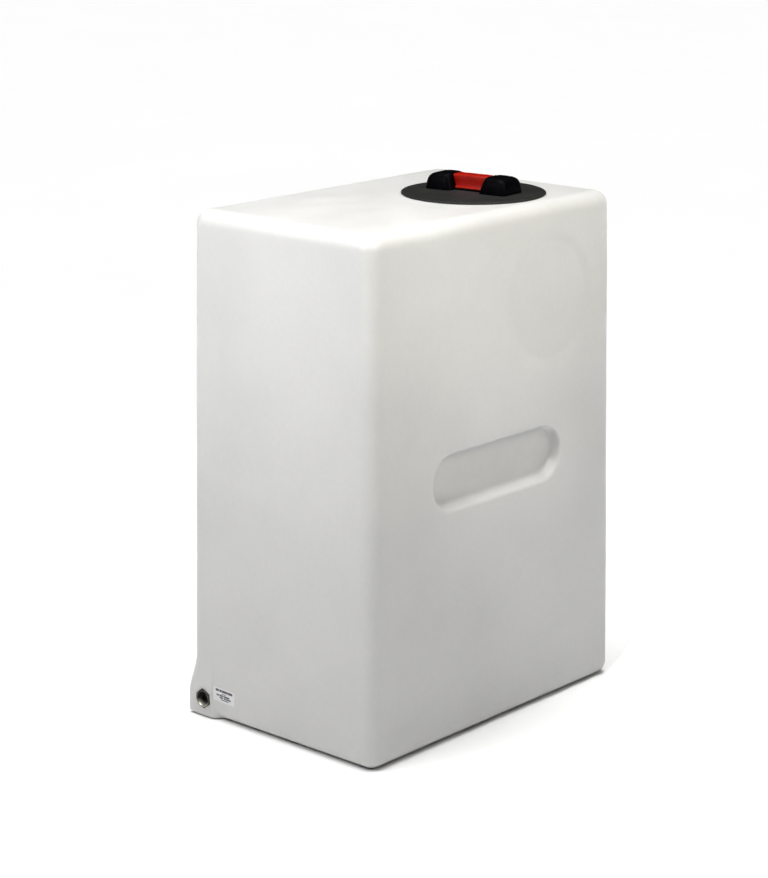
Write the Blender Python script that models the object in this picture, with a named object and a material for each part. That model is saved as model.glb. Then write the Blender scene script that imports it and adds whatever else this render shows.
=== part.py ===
"""Upright fresh water tank: a rotationally moulded polyethylene shell with a vented
bayonet lid on top and a moulded-in brass outlet at a bottom corner.

Metres, +Z up. The origin is the centre of the base, X runs along the length and Y
across the width. The outlet is at the -X end and the lid is near the +X end.
"""

import math

import bmesh
import bpy
from mathutils import Matrix, Vector

# ---- driving dimensions -------------------------------------------------------------
GAP = 0.0003                      # clearance between touching pieces

HEIGHT = 0.690
BASE_LENGTH = 0.5065              # before the edges are rounded
BASE_WIDTH = 0.3336
DRAFT = math.radians(0.825)       # the walls lean in towards the top
WALL = 0.005
EDGE_RADIUS = 0.020               # round the top and the base
CORNER_RADIUS = 0.021             # round the upright corners
CORNER_LEAST = 0.004
ROUND_STEPS = 5

POCKET_LENGTH = 0.268             # strap recess in each long wall
POCKET_HEIGHT = 0.0815
POCKET_DEPTH = 0.015
POCKET_LEVEL = 0.3518
POCKET_RUN = 0.0105               # width of the slope from its lip to its floor
POCKET_LEAN = 0.45                # the slope is this much steeper above, gentler below

DISH_RADIUS = 0.095               # shallow round dish in the front wall
DISH_DEPTH = 0.003
DISH_X = 0.108
DISH_LEVEL = 0.560

BOSS_OUT = 0.003                  # flat pad round the outlet, filling out the corner
BOSS_EDGE_RADIUS = 0.0074
BOSS_CORNER_RADIUS = 0.004        # much squarer than the tank's other corners
BOSS_FULL_Y = 0.1245
BOSS_END_Y = 0.1218               # where it meets the plain wall beside the label
BOSS_FOOT_Y = 0.1084              # and at the floor, where it spreads
BOSS_FOOT_TOP = 0.028
BOSS_FULL_Z = 0.030
BOSS_END_Z = 0.084
BOSS_WRAP = 0.030                 # how far its squarer base runs along the rear wall

OUTLET_Y = 0.1379
OUTLET_Z = 0.0268
OUTLET_ACROSS_FLATS = 0.0240
OUTLET_OUT = 0.0020               # how far it stands proud of the pad
OUTLET_INSIDE = 0.0060            # and how far it reaches into the tank
OUTLET_BORE = 0.0093              # crests of a half-inch pipe thread
OUTLET_WAIST = 0.0112
OUTLET_TWIST = math.radians(23)   # a point of the hexagon is 7 degrees from upright

LABEL_LENGTH = 0.0395             # along Y
LABEL_HEIGHT = 0.0190
LABEL_THICKNESS = 0.0004
LABEL_Y = 0.1015
LABEL_Z = 0.0381
LABEL_TILT = math.tan(math.radians(2))

LID_X = 0.0955
LID_Y = -0.0350
LID_RADIUS = 0.0970
LID_RIM = 0.0030                  # thickness at the rim
LID_CROWN = 0.0040                # height of the middle above the tank
LID_BELOW = 0.0005                # underside above the tank
PLUG_RADIUS = 0.0672
PLUG_WALL = 0.0032
PLUG_DEPTH = 0.026
LUG_RADIUS = 0.0706
LUG_THICKNESS = 0.0035
LUG_ARC = math.radians(40)
LUGS = 3

NECK_BORE = 0.0715
NECK_BARREL = 0.0762
NECK_FLANGE = 0.0905
NECK_FLANGE_THICKNESS = 0.0032
NECK_DEPTH = 0.034
LEDGE_RADIUS = 0.0682
LEDGE_THICKNESS = 0.0040
LEDGE_ARC = math.radians(50)
MOUTH_RADIUS = 0.0768
MOUTH_RECESS_RADIUS = 0.0912
MOUTH_RECESS_DEPTH = 0.0050
COLLAR_RADIUS = 0.099             # thickened shell under the neck ring
COLLAR_DEPTH = 0.0145
GASKET_THICKNESS = 0.0012
GASKET_INNER = 0.0774

NECK_SCREWS = 6
NECK_SCREW_CIRCLE = 0.0840
NECK_SCREW_LENGTH = 0.0115
GRIP_SCREW_X = 0.013
GRIP_SCREW_Y = 0.044
GRIP_SCREW_LENGTH = 0.0150
SCREW_SHANK = 0.0018
SCREW_HEAD = 0.0037
SCREW_HEAD_HEIGHT = 0.0022

GRIP_TURN = math.radians(7)       # the closed lid stops with its grip turned this far
GRIP_LENGTH = 0.127               # along Y before that turn
GRIP_WIDTH = 0.050
GRIP_TOP = 0.0255                 # above the tank
BRIDGE_WIDTH = 0.026
BRIDGE_THICKNESS = 0.0018
PAD_INNER_LOW = 0.0215            # half the gap between the pads at their feet
PAD_INNER_HIGH = 0.0280           # and at their tops

VENT_TRAVEL = 0.008
VENT_BORE = 0.0062
STEM_RADIUS = 0.0039
STEM_SOCKET = 0.0080
VENT_SEAL_RADIUS = 0.0105
VENT_SEAL_THICKNESS = 0.0012
RETAINER_RADIUS = 0.0095
RETAINER_THICKNESS = 0.0015
CAP_TOP = 0.0252
CAP_HALF_WIDTH = 0.0098
CAP_LIP = 0.0025

BASE_X = BASE_LENGTH / 2
BASE_Y = BASE_WIDTH / 2
SLOPE = math.tan(DRAFT)


# ---- scene, materials and objects ---------------------------------------------------
def clear_scene():
    for obj in list(bpy.data.objects):
        bpy.data.objects.remove(obj, do_unlink=True)


def finish(name, colour, roughness, metallic=0.0):
    """A Principled material with one colour."""
    material = bpy.data.materials.new(name)
    material.use_nodes = True
    shader = material.node_tree.nodes["Principled BSDF"]
    shader.inputs["Base Color"].default_value = (*colour, 1.0)
    shader.inputs["Roughness"].default_value = roughness
    shader.inputs["Metallic"].default_value = metallic
    return material


def pivot(name, location, parent=None):
    """An empty on a joint's axis, which carries the pieces that move with it."""
    empty = bpy.data.objects.new(name, None)
    empty.empty_display_size = 0.02
    bpy.context.scene.collection.objects.link(empty)
    empty.parent = parent
    empty.location = location
    return empty


def add_object(name, mesh_points, mesh_faces, material=None, parent=None):
    """A closed mesh as an object, with its normals facing out and round faces smooth."""
    mesh = bpy.data.meshes.new(name)
    mesh.from_pydata([tuple(p) for p in mesh_points], [], mesh_faces)
    bm = bmesh.new()
    bm.from_mesh(mesh)
    bmesh.ops.recalc_face_normals(bm, faces=bm.faces)
    bm.to_mesh(mesh)
    bm.free()
    mesh.shade_smooth()
    mesh.set_sharp_from_angle(angle=math.radians(40))
    obj = bpy.data.objects.new(name, mesh)
    bpy.context.scene.collection.objects.link(obj)
    obj.parent = parent
    if material:
        mesh.materials.append(material)
    return obj


def helper(obj):
    """Marks an object that only shapes others."""
    obj.hide_render = True
    obj.display_type = "WIRE"
    return obj


def boolean(obj, other, operation="DIFFERENCE"):
    modifier = obj.modifiers.new(f"{operation.lower()} {other.name}", "BOOLEAN")
    modifier.operation = operation
    modifier.solver = "EXACT"
    modifier.object = other


# ---- shapes -------------------------------------------------------------------------
def lofted(rings):
    """Points and faces of a solid through rings of equal length, closed at both ends."""
    count = len(rings[0])
    points = [p for ring in rings for p in ring]
    faces = [list(range(count)), list(range((len(rings) - 1) * count, len(rings) * count))]
    for level in range(len(rings) - 1):
        low = level * count
        for i in range(count):
            j = (i + 1) % count
            faces.append([low + i, low + j, low + count + j, low + count + i])
    return points, faces


def swept(profile, start=0.0, turn=2 * math.pi, steps=48):
    """A closed (radius, height) outline turned about Z, whole or as an arc."""
    whole = math.isclose(turn, 2 * math.pi)
    rings = []
    for step in range(steps if whole else steps + 1):
        angle = start + turn * step / steps
        rings.append([(r * math.cos(angle), r * math.sin(angle), z) for r, z in profile])
    points, faces = lofted(rings)
    if whole:
        count = len(profile)
        last = (len(rings) - 1) * count
        faces = faces[2:]
        for i in range(count):
            j = (i + 1) % count
            faces.append([last + i, last + j, j, i])
    return points, faces


def turned(profile, steps=16):
    """A solid of (radius, height) rings about Z, from one end to the other."""
    rings = []
    for radius, height in profile:
        rings.append([
            (radius * math.cos(a), radius * math.sin(a), height)
            for a in (2 * math.pi * k / steps for k in range(steps))
        ])
    return lofted(rings)


def placed(shape, matrix):
    points, faces = shape
    return [matrix @ Vector(p) for p in points], faces


def arc(centre_x, centre_y, radius, start, end, steps):
    for k in range(steps + 1):
        angle = math.radians(start + (end - start) * k / steps)
        yield centre_x + radius * math.cos(angle), centre_y + radius * math.sin(angle)


def rounded_rectangle(x_low, x_high, y_low, y_high, radius, height, steps=3):
    corners = (
        (x_high - radius, y_low + radius, -90),
        (x_high - radius, y_high - radius, 0),
        (x_low + radius, y_high - radius, 90),
        (x_low + radius, y_low + radius, 180),
    )
    return [
        (x, y, height)
        for cx, cy, start in corners
        for x, y in arc(cx, cy, radius, start, start + 90, steps)
    ]


def smooth(value):
    """0 to 1 with level ends."""
    value = min(max(value, 0.0), 1.0)
    return value * value * (3 - 2 * value)


def drop_in(radius, from_edge):
    """How far a rounded edge has pulled in, this far from the flat beyond it."""
    if from_edge >= radius:
        return 0.0
    return radius - math.sqrt(max(radius ** 2 - (radius - from_edge) ** 2, 0.0))


# ---- tank shell ---------------------------------------------------------------------
BOSS_WRAP_STEPS = 3
BOSS_STEPS = 5


def boss_end(z):
    """Where the boss meets the plain end wall at this height."""
    return BOSS_FOOT_Y + (BOSS_END_Y - BOSS_FOOT_Y) * smooth(z / BOSS_FOOT_TOP)


def boss_share(y, z):
    """1 on the outlet boss, 0 on the plain wall, with a soft slope between."""
    along = smooth((y - boss_end(z)) / (BOSS_FULL_Y - boss_end(z)))
    return along * smooth((BOSS_END_Z - z) / (BOSS_END_Z - BOSS_FULL_Z))


def boss_rise(y, z):
    """How far the boss stands out from the plain end wall."""
    pulled = drop_in(EDGE_RADIUS, z) - drop_in(BOSS_EDGE_RADIUS, z)
    return boss_share(y, z) * (BOSS_OUT + pulled)


def boss_corner(half_x, half_y, corner, z):
    """The upright corner beside the outlet: squarer, on a base with a tighter edge."""
    share = boss_share(half_y, z)
    pulled = drop_in(BOSS_EDGE_RADIUS, z)
    square = max(BOSS_CORNER_RADIUS - pulled, CORNER_LEAST)
    radius = corner + (square - corner) * share
    out_x = half_x + boss_rise(half_y, z)
    out_y = half_y + share * (drop_in(EDGE_RADIUS, z) - pulled)
    ring = []
    for k in range(BOSS_WRAP_STEPS):
        part = k / BOSS_WRAP_STEPS
        x = radius - out_x + BOSS_WRAP * (1 - part)
        ring.append((x, half_y + (out_y - half_y) * smooth(part)))
    ring += arc(radius - out_x, out_y - radius, radius, 90, 180, ROUND_STEPS)
    return ring


def shell_ring(z, inset=0.0, with_boss=True):
    """The shell's outline at one height, or the outline this far inside it."""
    radius = EDGE_RADIUS - inset
    pulled = drop_in(radius, min(z - inset, HEIGHT - inset - z))
    half_x = BASE_X - SLOPE * z - inset - pulled
    half_y = BASE_Y - SLOPE * z - inset - pulled
    corner = max(CORNER_RADIUS - inset - pulled, CORNER_LEAST)
    ring = []
    ring += arc(half_x - corner, corner - half_y, corner, -90, 0, ROUND_STEPS)
    ring += arc(half_x - corner, half_y - corner, corner, 0, 90, ROUND_STEPS)
    if with_boss:
        ring += boss_corner(half_x, half_y, corner, z)
        for k in range(BOSS_STEPS, -1, -1):
            y = boss_end(z) + (BOSS_FULL_Y - boss_end(z)) * k / BOSS_STEPS
            ring.append((-half_x - boss_rise(y, z), y))
    else:
        ring += arc(corner - half_x, half_y - corner, corner, 90, 180, ROUND_STEPS)
    ring += arc(corner - half_x, corner - half_y, corner, 180, 270, ROUND_STEPS)
    return [(x, y, z) for x, y in ring]


def shell_block(inset=0.0, with_boss=True):
    """The whole outer form, or the form this far inside it."""
    radius = EDGE_RADIUS - inset
    turns = [math.radians(90 * k / ROUND_STEPS) for k in range(ROUND_STEPS + 1)]
    heights = [inset + radius * (1 - math.cos(a)) for a in turns]
    if with_boss:
        tight = [BOSS_EDGE_RADIUS * (1 - math.cos(a)) for a in turns[3:]]
        blend = BOSS_END_Z - BOSS_FULL_Z
        heights = sorted(heights + tight)
        heights += [BOSS_FULL_Z + blend * k / 6 for k in range(7)]
    heights += [HEIGHT - inset - radius * (1 - math.cos(a)) for a in reversed(turns)]
    return lofted([shell_ring(z, inset, with_boss) for z in heights])


def on_long_wall(side, x, height):
    """Frame on a long wall: local X along it, Y up it, Z outwards. side is -1 or 1."""
    outward = Vector((0, side * math.cos(DRAFT), math.sin(DRAFT)))
    up = Vector((0, -side * math.sin(DRAFT), math.cos(DRAFT)))
    along = up.cross(outward)
    matrix = Matrix((along, up, outward)).transposed().to_4x4()
    matrix.translation = (x, side * (BASE_Y - SLOPE * height), height)
    return matrix


def stadium(half_length, half_height, depth, lift=0.0, steps=6):
    straight = half_length - half_height
    ring = [*arc(straight, lift, half_height, -90, 90, steps)]
    ring += arc(-straight, lift, half_height, 90, 270, steps)
    return [(x, y, -depth) for x, y in ring]


def recess(ring_at, depth, slope_run, grow=0.0, above=0.002):
    """A shallow recess: (inset, depth) down a soft lip, a slope and a rounded floor."""
    steps = (
        (-grow - above, -above),
        (0.10 * slope_run - grow, 0.08 * depth + grow),
        (0.35 * slope_run - grow, 0.40 * depth + grow),
        (0.65 * slope_run - grow, 0.80 * depth + grow),
        (1.00 * slope_run - grow, depth + grow),
    )
    return lofted([ring_at(inset, down) for inset, down in steps])


def pocket(side, grow=0.0, above=0.002):
    def ring_at(inset, down):
        length, height = POCKET_LENGTH / 2 - inset, POCKET_HEIGHT / 2 - inset
        return stadium(length, height, down, POCKET_LEAN * (inset + grow))
    shape = recess(ring_at, POCKET_DEPTH, POCKET_RUN, grow, above)
    return placed(shape, on_long_wall(side, 0, POCKET_LEVEL))


def dish(grow=0.0, above=0.002):
    def ring_at(inset, down):
        steps = 32
        turns = (2 * math.pi * k / steps for k in range(steps))
        radius = DISH_RADIUS - inset
        return [(radius * math.cos(a), radius * math.sin(a), -down) for a in turns]
    shape = recess(ring_at, DISH_DEPTH, 0.010, grow, above)
    return placed(shape, on_long_wall(-1, DISH_X, DISH_LEVEL))


def polar(radius, angle):
    return radius * math.cos(angle), radius * math.sin(angle)


def above_lid_seat(x=0.0, y=0.0, z=0.0):
    return Matrix.Translation((LID_X + x, LID_Y + y, HEIGHT + z))


def neck_screw_places():
    for k in range(NECK_SCREWS):
        yield polar(NECK_SCREW_CIRCLE, 2 * math.pi * (k + 0.5) / NECK_SCREWS)


def grip_screw_places():
    for x in (-GRIP_SCREW_X, GRIP_SCREW_X):
        for y in (-GRIP_SCREW_Y, GRIP_SCREW_Y):
            yield (Matrix.Rotation(GRIP_TURN, 4, "Z") @ Vector((x, y, 0)))[:2]


def with_grip(shape):
    """Turn a shape made square to the tank the way the closed lid's grip lies."""
    return placed(shape, Matrix.Rotation(GRIP_TURN, 4, "Z"))


def cylinder(radius, low, high, steps=12):
    return turned([(radius, low), (radius, high)], steps)


def insert_shape(clearance=0.0, inner_end=0.0):
    """The outlet's outside, about Z: a hexagon with a round waist that keys it in."""
    flat = OUTLET_ACROSS_FLATS / 2 + clearance
    waist = OUTLET_WAIST + clearance
    length = OUTLET_OUT + BOSS_OUT + WALL + OUTLET_INSIDE
    chamfer = 0.0 if clearance else 0.0010
    sides = 24

    def hexagon(inset, height):
        ring = []
        for k in range(sides):
            angle = 2 * math.pi * k / sides
            within = (angle + math.pi / 6) % (math.pi / 3) - math.pi / 6
            reach = (flat - inset) / math.cos(within)
            ring.append((*polar(reach, angle), height))
        return ring

    def circle(height):
        return [(*polar(waist, 2 * math.pi * k / sides), height) for k in range(sides)]

    waist_low = OUTLET_OUT + 0.0025 + clearance
    waist_high = OUTLET_OUT + 0.0055 - clearance
    return lofted([
        hexagon(chamfer, 0.0),
        hexagon(0.0, chamfer) if chamfer else hexagon(0.0, 0.0010),
        hexagon(0.0, waist_low),
        circle(waist_low + 0.0001),
        circle(waist_high - 0.0001),
        hexagon(0.0, waist_high),
        hexagon(0.0, length + inner_end),
    ])


def at_outlet():
    """Frame on the outlet's mouth: local Z runs into the tank, along +X."""
    face = -BASE_X + SLOPE * OUTLET_Z - BOSS_OUT - OUTLET_OUT
    turn = Matrix.Rotation(math.radians(90), 4, "Y")
    twist = Matrix.Rotation(OUTLET_TWIST, 4, "Z")
    return Matrix.Translation((face, OUTLET_Y, OUTLET_Z)) @ turn @ twist


def build_shell(material):
    body = add_object("tank_body", *shell_block(), material)
    hollow = helper(add_object("hollow", *shell_block(WALL, with_boss=False)))
    collar = cylinder(COLLAR_RADIUS, -COLLAR_DEPTH, 0.010, 48)
    boolean(hollow, helper(add_object("collar", *placed(collar, above_lid_seat()))))
    for side, name in ((-1, "front"), (1, "rear")):
        cutter = helper(add_object(f"{name}_pocket", *pocket(side)))
        backing = helper(add_object(f"{name}_pocket_back", *pocket(side, WALL, 0.004)))
        boolean(body, cutter)
        boolean(hollow, backing)
    boolean(body, helper(add_object("front_dish", *dish())))
    boolean(hollow, helper(add_object("front_dish_back", *dish(WALL, 0.004))))
    boolean(body, hollow)
    recess_cut = cylinder(MOUTH_RECESS_RADIUS, -MOUTH_RECESS_DEPTH, 0.010, 48)
    boolean(body, helper(add_object("mouth_recess", *placed(recess_cut, above_lid_seat()))))
    mouth_cut = cylinder(MOUTH_RADIUS, -0.030, 0.010, 48)
    boolean(body, helper(add_object("mouth", *placed(mouth_cut, above_lid_seat()))))
    tip = NECK_SCREW_LENGTH + 3 * GAP
    for k, (x, y) in enumerate(neck_screw_places(), 1):
        pilot = cylinder(SCREW_SHANK + GAP, -tip, 0.001, 10)
        cutter = add_object(f"pilot_{k}", *placed(pilot, above_lid_seat(x, y)))
        boolean(body, helper(cutter))
    seat = placed(insert_shape(GAP, 0.004), at_outlet())
    boolean(body, helper(add_object("outlet_seat", *seat)))
    return body


# ---- neck ---------------------------------------------------------------------------
def screw_shape(length, steps=10):
    """A countersunk screw, head down to tip along -Z from its flat top."""
    return turned([
        (SCREW_HEAD, 0.0),
        (SCREW_HEAD, -0.0004),
        (SCREW_SHANK, -SCREW_HEAD_HEIGHT),
        (SCREW_SHANK, -length + 0.0015),
        (SCREW_SHANK * 0.35, -length),
    ], steps)


def screw_seat(length, steps=10):
    """The countersink that a screw sits in, a gap larger all round."""
    wide = SCREW_HEAD + GAP
    narrow = SCREW_SHANK + GAP
    return turned([
        (wide, 0.002),
        (wide, -0.0004 - GAP),
        (narrow, -SCREW_HEAD_HEIGHT - GAP),
        (narrow, -length),
    ], steps)


def build_neck(plastic, rubber, steel):
    seat = -MOUTH_RECESS_DEPTH + GAP
    gasket_top = seat + GASKET_THICKNESS
    gasket = add_object("neck_gasket", *placed(swept([
        (GASKET_INNER, seat),
        (NECK_FLANGE, seat),
        (NECK_FLANGE, gasket_top),
        (GASKET_INNER, gasket_top),
    ]), above_lid_seat()), rubber)
    flange_low = gasket_top + GAP
    flange_top = flange_low + NECK_FLANGE_THICKNESS - 2 * GAP
    ring = add_object("neck_ring", *placed(swept([
        (NECK_BORE, -NECK_DEPTH),
        (NECK_BARREL, -NECK_DEPTH),
        (NECK_BARREL, flange_low),
        (NECK_FLANGE, flange_low),
        (NECK_FLANGE, flange_top),
        (NECK_BORE + 0.0006, flange_top),
        (NECK_BORE, flange_top - 0.0006),
    ]), above_lid_seat()), plastic)
    ledge_top = -PLUG_DEPTH + LUG_THICKNESS + 0.0005 + LEDGE_THICKNESS
    for k in range(LUGS):
        start = 2 * math.pi * k / LUGS - LEDGE_ARC / 2
        ledge = swept([
            (LEDGE_RADIUS, ledge_top - LEDGE_THICKNESS),
            (NECK_BORE + 0.002, ledge_top - LEDGE_THICKNESS),
            (NECK_BORE + 0.002, ledge_top),
            (LEDGE_RADIUS, ledge_top - 0.0012),
        ], start, LEDGE_ARC, 8)
        piece = helper(add_object(f"ledge_{k + 1}", *placed(ledge, above_lid_seat())))
        boolean(ring, piece, "UNION")
    top = flange_top - 0.0002
    for k, (x, y) in enumerate(neck_screw_places(), 1):
        where = above_lid_seat(x, y, top)
        cutter = add_object(f"neck_screw_seat_{k}", *placed(screw_seat(0.012), where))
        boolean(ring, helper(cutter))
        boolean(gasket, cutter)
        length = NECK_SCREW_LENGTH + top
        add_object(f"neck_screw_{k}", *placed(screw_shape(length), where), steel)


# ---- lid ----------------------------------------------------------------------------
def build_lid(plastic, rubber, dark, steel, seal_pivot, lid_pivot):
    """Pieces are made about the lid's axis, with heights above the tank's top."""
    disc = add_object("lid_disc", *swept([
        (VENT_BORE, LID_BELOW),
        (PLUG_RADIUS - PLUG_WALL, LID_BELOW),
        (PLUG_RADIUS - PLUG_WALL, -PLUG_DEPTH),
        (PLUG_RADIUS, -PLUG_DEPTH),
        (PLUG_RADIUS, LID_BELOW),
        (LID_RADIUS - 0.0006, LID_BELOW),
        (LID_RADIUS, LID_BELOW + 0.0006),
        (LID_RADIUS, LID_RIM - 0.0008),
        (LID_RADIUS - 0.0010, LID_RIM),
        (0.0700, LID_CROWN),
        (VENT_BORE, LID_CROWN),
    ], steps=60), plastic, lid_pivot)
    for k in range(LUGS):
        start = 2 * math.pi * k / LUGS - LUG_ARC / 2
        lug = swept([
            (PLUG_RADIUS - 0.0015, -PLUG_DEPTH + 0.0002),
            (LUG_RADIUS - 0.0004, -PLUG_DEPTH + 0.0002),
            (LUG_RADIUS, -PLUG_DEPTH + LUG_THICKNESS),
            (PLUG_RADIUS - 0.0015, -PLUG_DEPTH + LUG_THICKNESS),
        ], start, LUG_ARC, 6)
        piece = helper(add_object(f"lug_{k + 1}", *lug, parent=lid_pivot))
        boolean(disc, piece, "UNION")
    add_object("lid_seal", *swept([
        (PLUG_RADIUS + 0.0004, -0.0042),
        (PLUG_RADIUS + 0.0030, -0.0042),
        (PLUG_RADIUS + 0.0039, -0.0030),
        (PLUG_RADIUS + 0.0039, -0.0012),
        (PLUG_RADIUS + 0.0030, 0.0002),
        (PLUG_RADIUS + 0.0004, 0.0002),
    ]), rubber, seal_pivot)
    grip = build_grip(dark, lid_pivot)
    head = LID_BELOW - GAP
    for k, (x, y) in enumerate(grip_screw_places(), 1):
        where = Matrix.Translation((x, y, head)) @ Matrix.Rotation(math.pi, 4, "X")
        hole = cylinder(SCREW_SHANK + GAP, -GRIP_SCREW_LENGTH - GAP, 0.002, 10)
        cutter = add_object(f"grip_screw_hole_{k}", *placed(hole, where), parent=lid_pivot)
        boolean(disc, helper(cutter))
        boolean(grip, cutter)
        pan = turned([
            (SCREW_HEAD * 0.7, SCREW_HEAD_HEIGHT),
            (SCREW_HEAD, SCREW_HEAD_HEIGHT * 0.5),
            (SCREW_HEAD, 0.0),
            (SCREW_SHANK, -0.0001),
            (SCREW_SHANK, -GRIP_SCREW_LENGTH + 0.0015),
            (SCREW_SHANK * 0.35, -GRIP_SCREW_LENGTH),
        ], 10)
        add_object(f"grip_screw_{k}", *placed(pan, where), steel, lid_pivot)
    return grip


def pad_inner(height):
    """Half the gap between the two pads at this height above the tank."""
    share = (height - LID_CROWN - GAP) / (GRIP_TOP - LID_CROWN - GAP)
    return PAD_INNER_LOW + (PAD_INNER_HIGH - PAD_INNER_LOW) * share


def build_grip(material, parent):
    """A pull bar across the lid: two pads joined by a low bridge under the vent cap."""
    foot = LID_CROWN + GAP
    rise = GRIP_TOP - foot
    bridge_top = foot + BRIDGE_THICKNESS
    reach = PAD_INNER_LOW + 0.010
    bridge = low_block(BRIDGE_WIDTH / 2, reach, foot + 0.0002, bridge_top)
    grip = add_object("lid_grip", *with_grip(bridge), material, parent)
    # (share of the height, how far the sides have pulled in)
    levels = ((0.0, 0.0), (0.45, 0.0012), (0.70, 0.0028), (0.87, 0.0054), (0.96, 0.0088), (1.0, 0.0130))
    for side, name in ((-1, "front"), (1, "rear")):
        rings = []
        for share, pulled in levels:
            height = foot + rise * share
            inner = pad_inner(height) + max(pulled - 0.0095, 0.0)
            outer = GRIP_LENGTH / 2 - pulled
            low, high = sorted((side * inner, side * outer))
            half = GRIP_WIDTH / 2 - 0.85 * pulled
            rings.append(rounded_rectangle(-half, half, low, high, 0.007, height))
        pad = helper(add_object(f"{name}_pad", *with_grip(lofted(rings)), parent=parent))
        boolean(grip, pad, "UNION")
    bore = cylinder(VENT_BORE, 0.0, 0.020, 16)
    boolean(grip, helper(add_object("grip_vent_bore", *bore, parent=parent)))
    return grip


def low_block(half_x, half_y, low, high):
    """A low block with rounded corners, about Z."""
    return lofted([
        rounded_rectangle(-half_x, half_x, -half_y, half_y, 0.003, low),
        rounded_rectangle(-half_x, half_x, -half_y, half_y, 0.003, high),
    ])


# ---- vent ---------------------------------------------------------------------------
def build_vent(red, dark, rubber, steel, parent):
    """A pull-up breather: a red wedge between the pads, on a stem through the lid."""
    cap_low = LID_CROWN + GAP + BRIDGE_THICKNESS + GAP
    # (height above the cap's foot, half width along X, how far the ends have pulled in)
    levels = (
        (0.0000, CAP_HALF_WIDTH + CAP_LIP - 0.0006, 0.0006),
        (0.0008, CAP_HALF_WIDTH + CAP_LIP, 0.0),
        (0.0020, CAP_HALF_WIDTH + CAP_LIP - 0.0003, 0.0),
        (0.0036, CAP_HALF_WIDTH, 0.0),
        (CAP_TOP - cap_low - 0.0030, CAP_HALF_WIDTH, 0.0),
        (CAP_TOP - cap_low - 0.0009, CAP_HALF_WIDTH - 0.0005, 0.0004),
        (CAP_TOP - cap_low, CAP_HALF_WIDTH - 0.0018, 0.0016),
    )
    rings = []
    for rise, half_x, pulled in levels:
        height = cap_low + rise
        half_y = pad_inner(height) - 0.0005 - pulled
        rings.append(rounded_rectangle(-half_x, half_x, -half_y, half_y, 0.0020, height))
    cap = add_object("vent_cap", *with_grip(lofted(rings)), red, parent)
    socket = cylinder(STEM_RADIUS + GAP, cap_low - 0.002, cap_low + STEM_SOCKET, 16)
    boolean(cap, helper(add_object("stem_socket", *socket, parent=parent)))
    seat_top = cap_low + VENT_SEAL_THICKNESS + GAP
    seat = cylinder(VENT_SEAL_RADIUS + GAP, cap_low - 0.002, seat_top, 24)
    boolean(cap, helper(add_object("vent_seal_seat", *seat, parent=parent)))

    retainer_top = LID_BELOW - VENT_TRAVEL - GAP
    retainer_low = retainer_top - RETAINER_THICKNESS
    head_top = retainer_low - GAP
    add_object("vent_stem", *turned([
        (STEM_RADIUS, head_top - 0.0014),
        (STEM_RADIUS + 0.0010, head_top - 0.0010),
        (STEM_RADIUS + 0.0010, head_top - 0.0001),
        (STEM_RADIUS, head_top),
        (STEM_RADIUS, cap_low + STEM_SOCKET - 0.0010),
        (STEM_RADIUS - 0.0006, cap_low + STEM_SOCKET - GAP),
    ], 16), dark, parent)
    add_object("vent_retainer", *swept([
        (STEM_RADIUS + GAP, retainer_low),
        (RETAINER_RADIUS, retainer_low),
        (RETAINER_RADIUS, retainer_top - 0.0005),
        (RETAINER_RADIUS - 0.0005, retainer_top),
        (STEM_RADIUS + GAP, retainer_top),
    ], steps=16), steel, parent)
    seal_top = cap_low + VENT_SEAL_THICKNESS
    add_object("vent_seal", *swept([
        (STEM_RADIUS + GAP, cap_low),
        (VENT_SEAL_RADIUS, cap_low),
        (VENT_SEAL_RADIUS, seal_top),
        (STEM_RADIUS + GAP, seal_top),
    ], steps=24), rubber, parent)


# ---- outlet and label ---------------------------------------------------------------
def build_outlet(material):
    insert = add_object("outlet_insert", *placed(insert_shape(), at_outlet()), material)
    bore = placed(turned([
        (OUTLET_BORE + 0.0026, -0.0010),
        (OUTLET_BORE, 0.0016),
        (OUTLET_BORE, 0.0300),
    ], 32), at_outlet())
    boolean(insert, helper(add_object("outlet_bore", *bore)))


def build_label(material):
    """A thin plate on the end wall beside the boss."""
    def ring(level):
        back = []
        for y in (LABEL_Y - LABEL_LENGTH / 2, LABEL_Y + LABEL_LENGTH / 2):
            z = level + LABEL_TILT * (y - LABEL_Y)
            back.append((-BASE_X + SLOPE * z - 0.0005, y, z))
        front = [(x - LABEL_THICKNESS, y, z) for x, y, z in reversed(back)]
        return back + front

    low = LABEL_Z - LABEL_HEIGHT / 2
    add_object("data_label", *lofted([ring(low), ring(low + LABEL_HEIGHT)]), material)


def main():
    clear_scene()
    polyethylene = finish("natural polyethylene", (0.80, 0.81, 0.82), 0.40)
    black_plastic = finish("black polypropylene", (0.022, 0.022, 0.024), 0.55)
    grip_plastic = finish("grip plastic", (0.006, 0.006, 0.008), 0.32)
    red_plastic = finish("red plastic", (0.72, 0.035, 0.012), 0.38)
    rubber = finish("black rubber", (0.015, 0.015, 0.015), 0.75)
    steel = finish("stainless steel", (0.62, 0.62, 0.60), 0.28, 1.0)
    brass = finish("nickel-plated brass", (0.46, 0.43, 0.36), 0.30, 1.0)
    paper = finish("label film", (0.86, 0.87, 0.88), 0.45)

    build_shell(polyethylene)
    build_neck(black_plastic, rubber, steel)
    seal_pivot = pivot("lid_lift_axis", (LID_X, LID_Y, HEIGHT))
    lid_pivot = pivot("lid_turn_axis", (0, 0, 0), seal_pivot)
    build_lid(black_plastic, rubber, grip_plastic, steel, seal_pivot, lid_pivot)
    vent_pivot = pivot("vent_lift_axis", (0, 0, 0), lid_pivot)
    build_vent(red_plastic, grip_plastic, rubber, steel, vent_pivot)
    build_outlet(brass)
    build_label(paper)


main()
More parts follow.
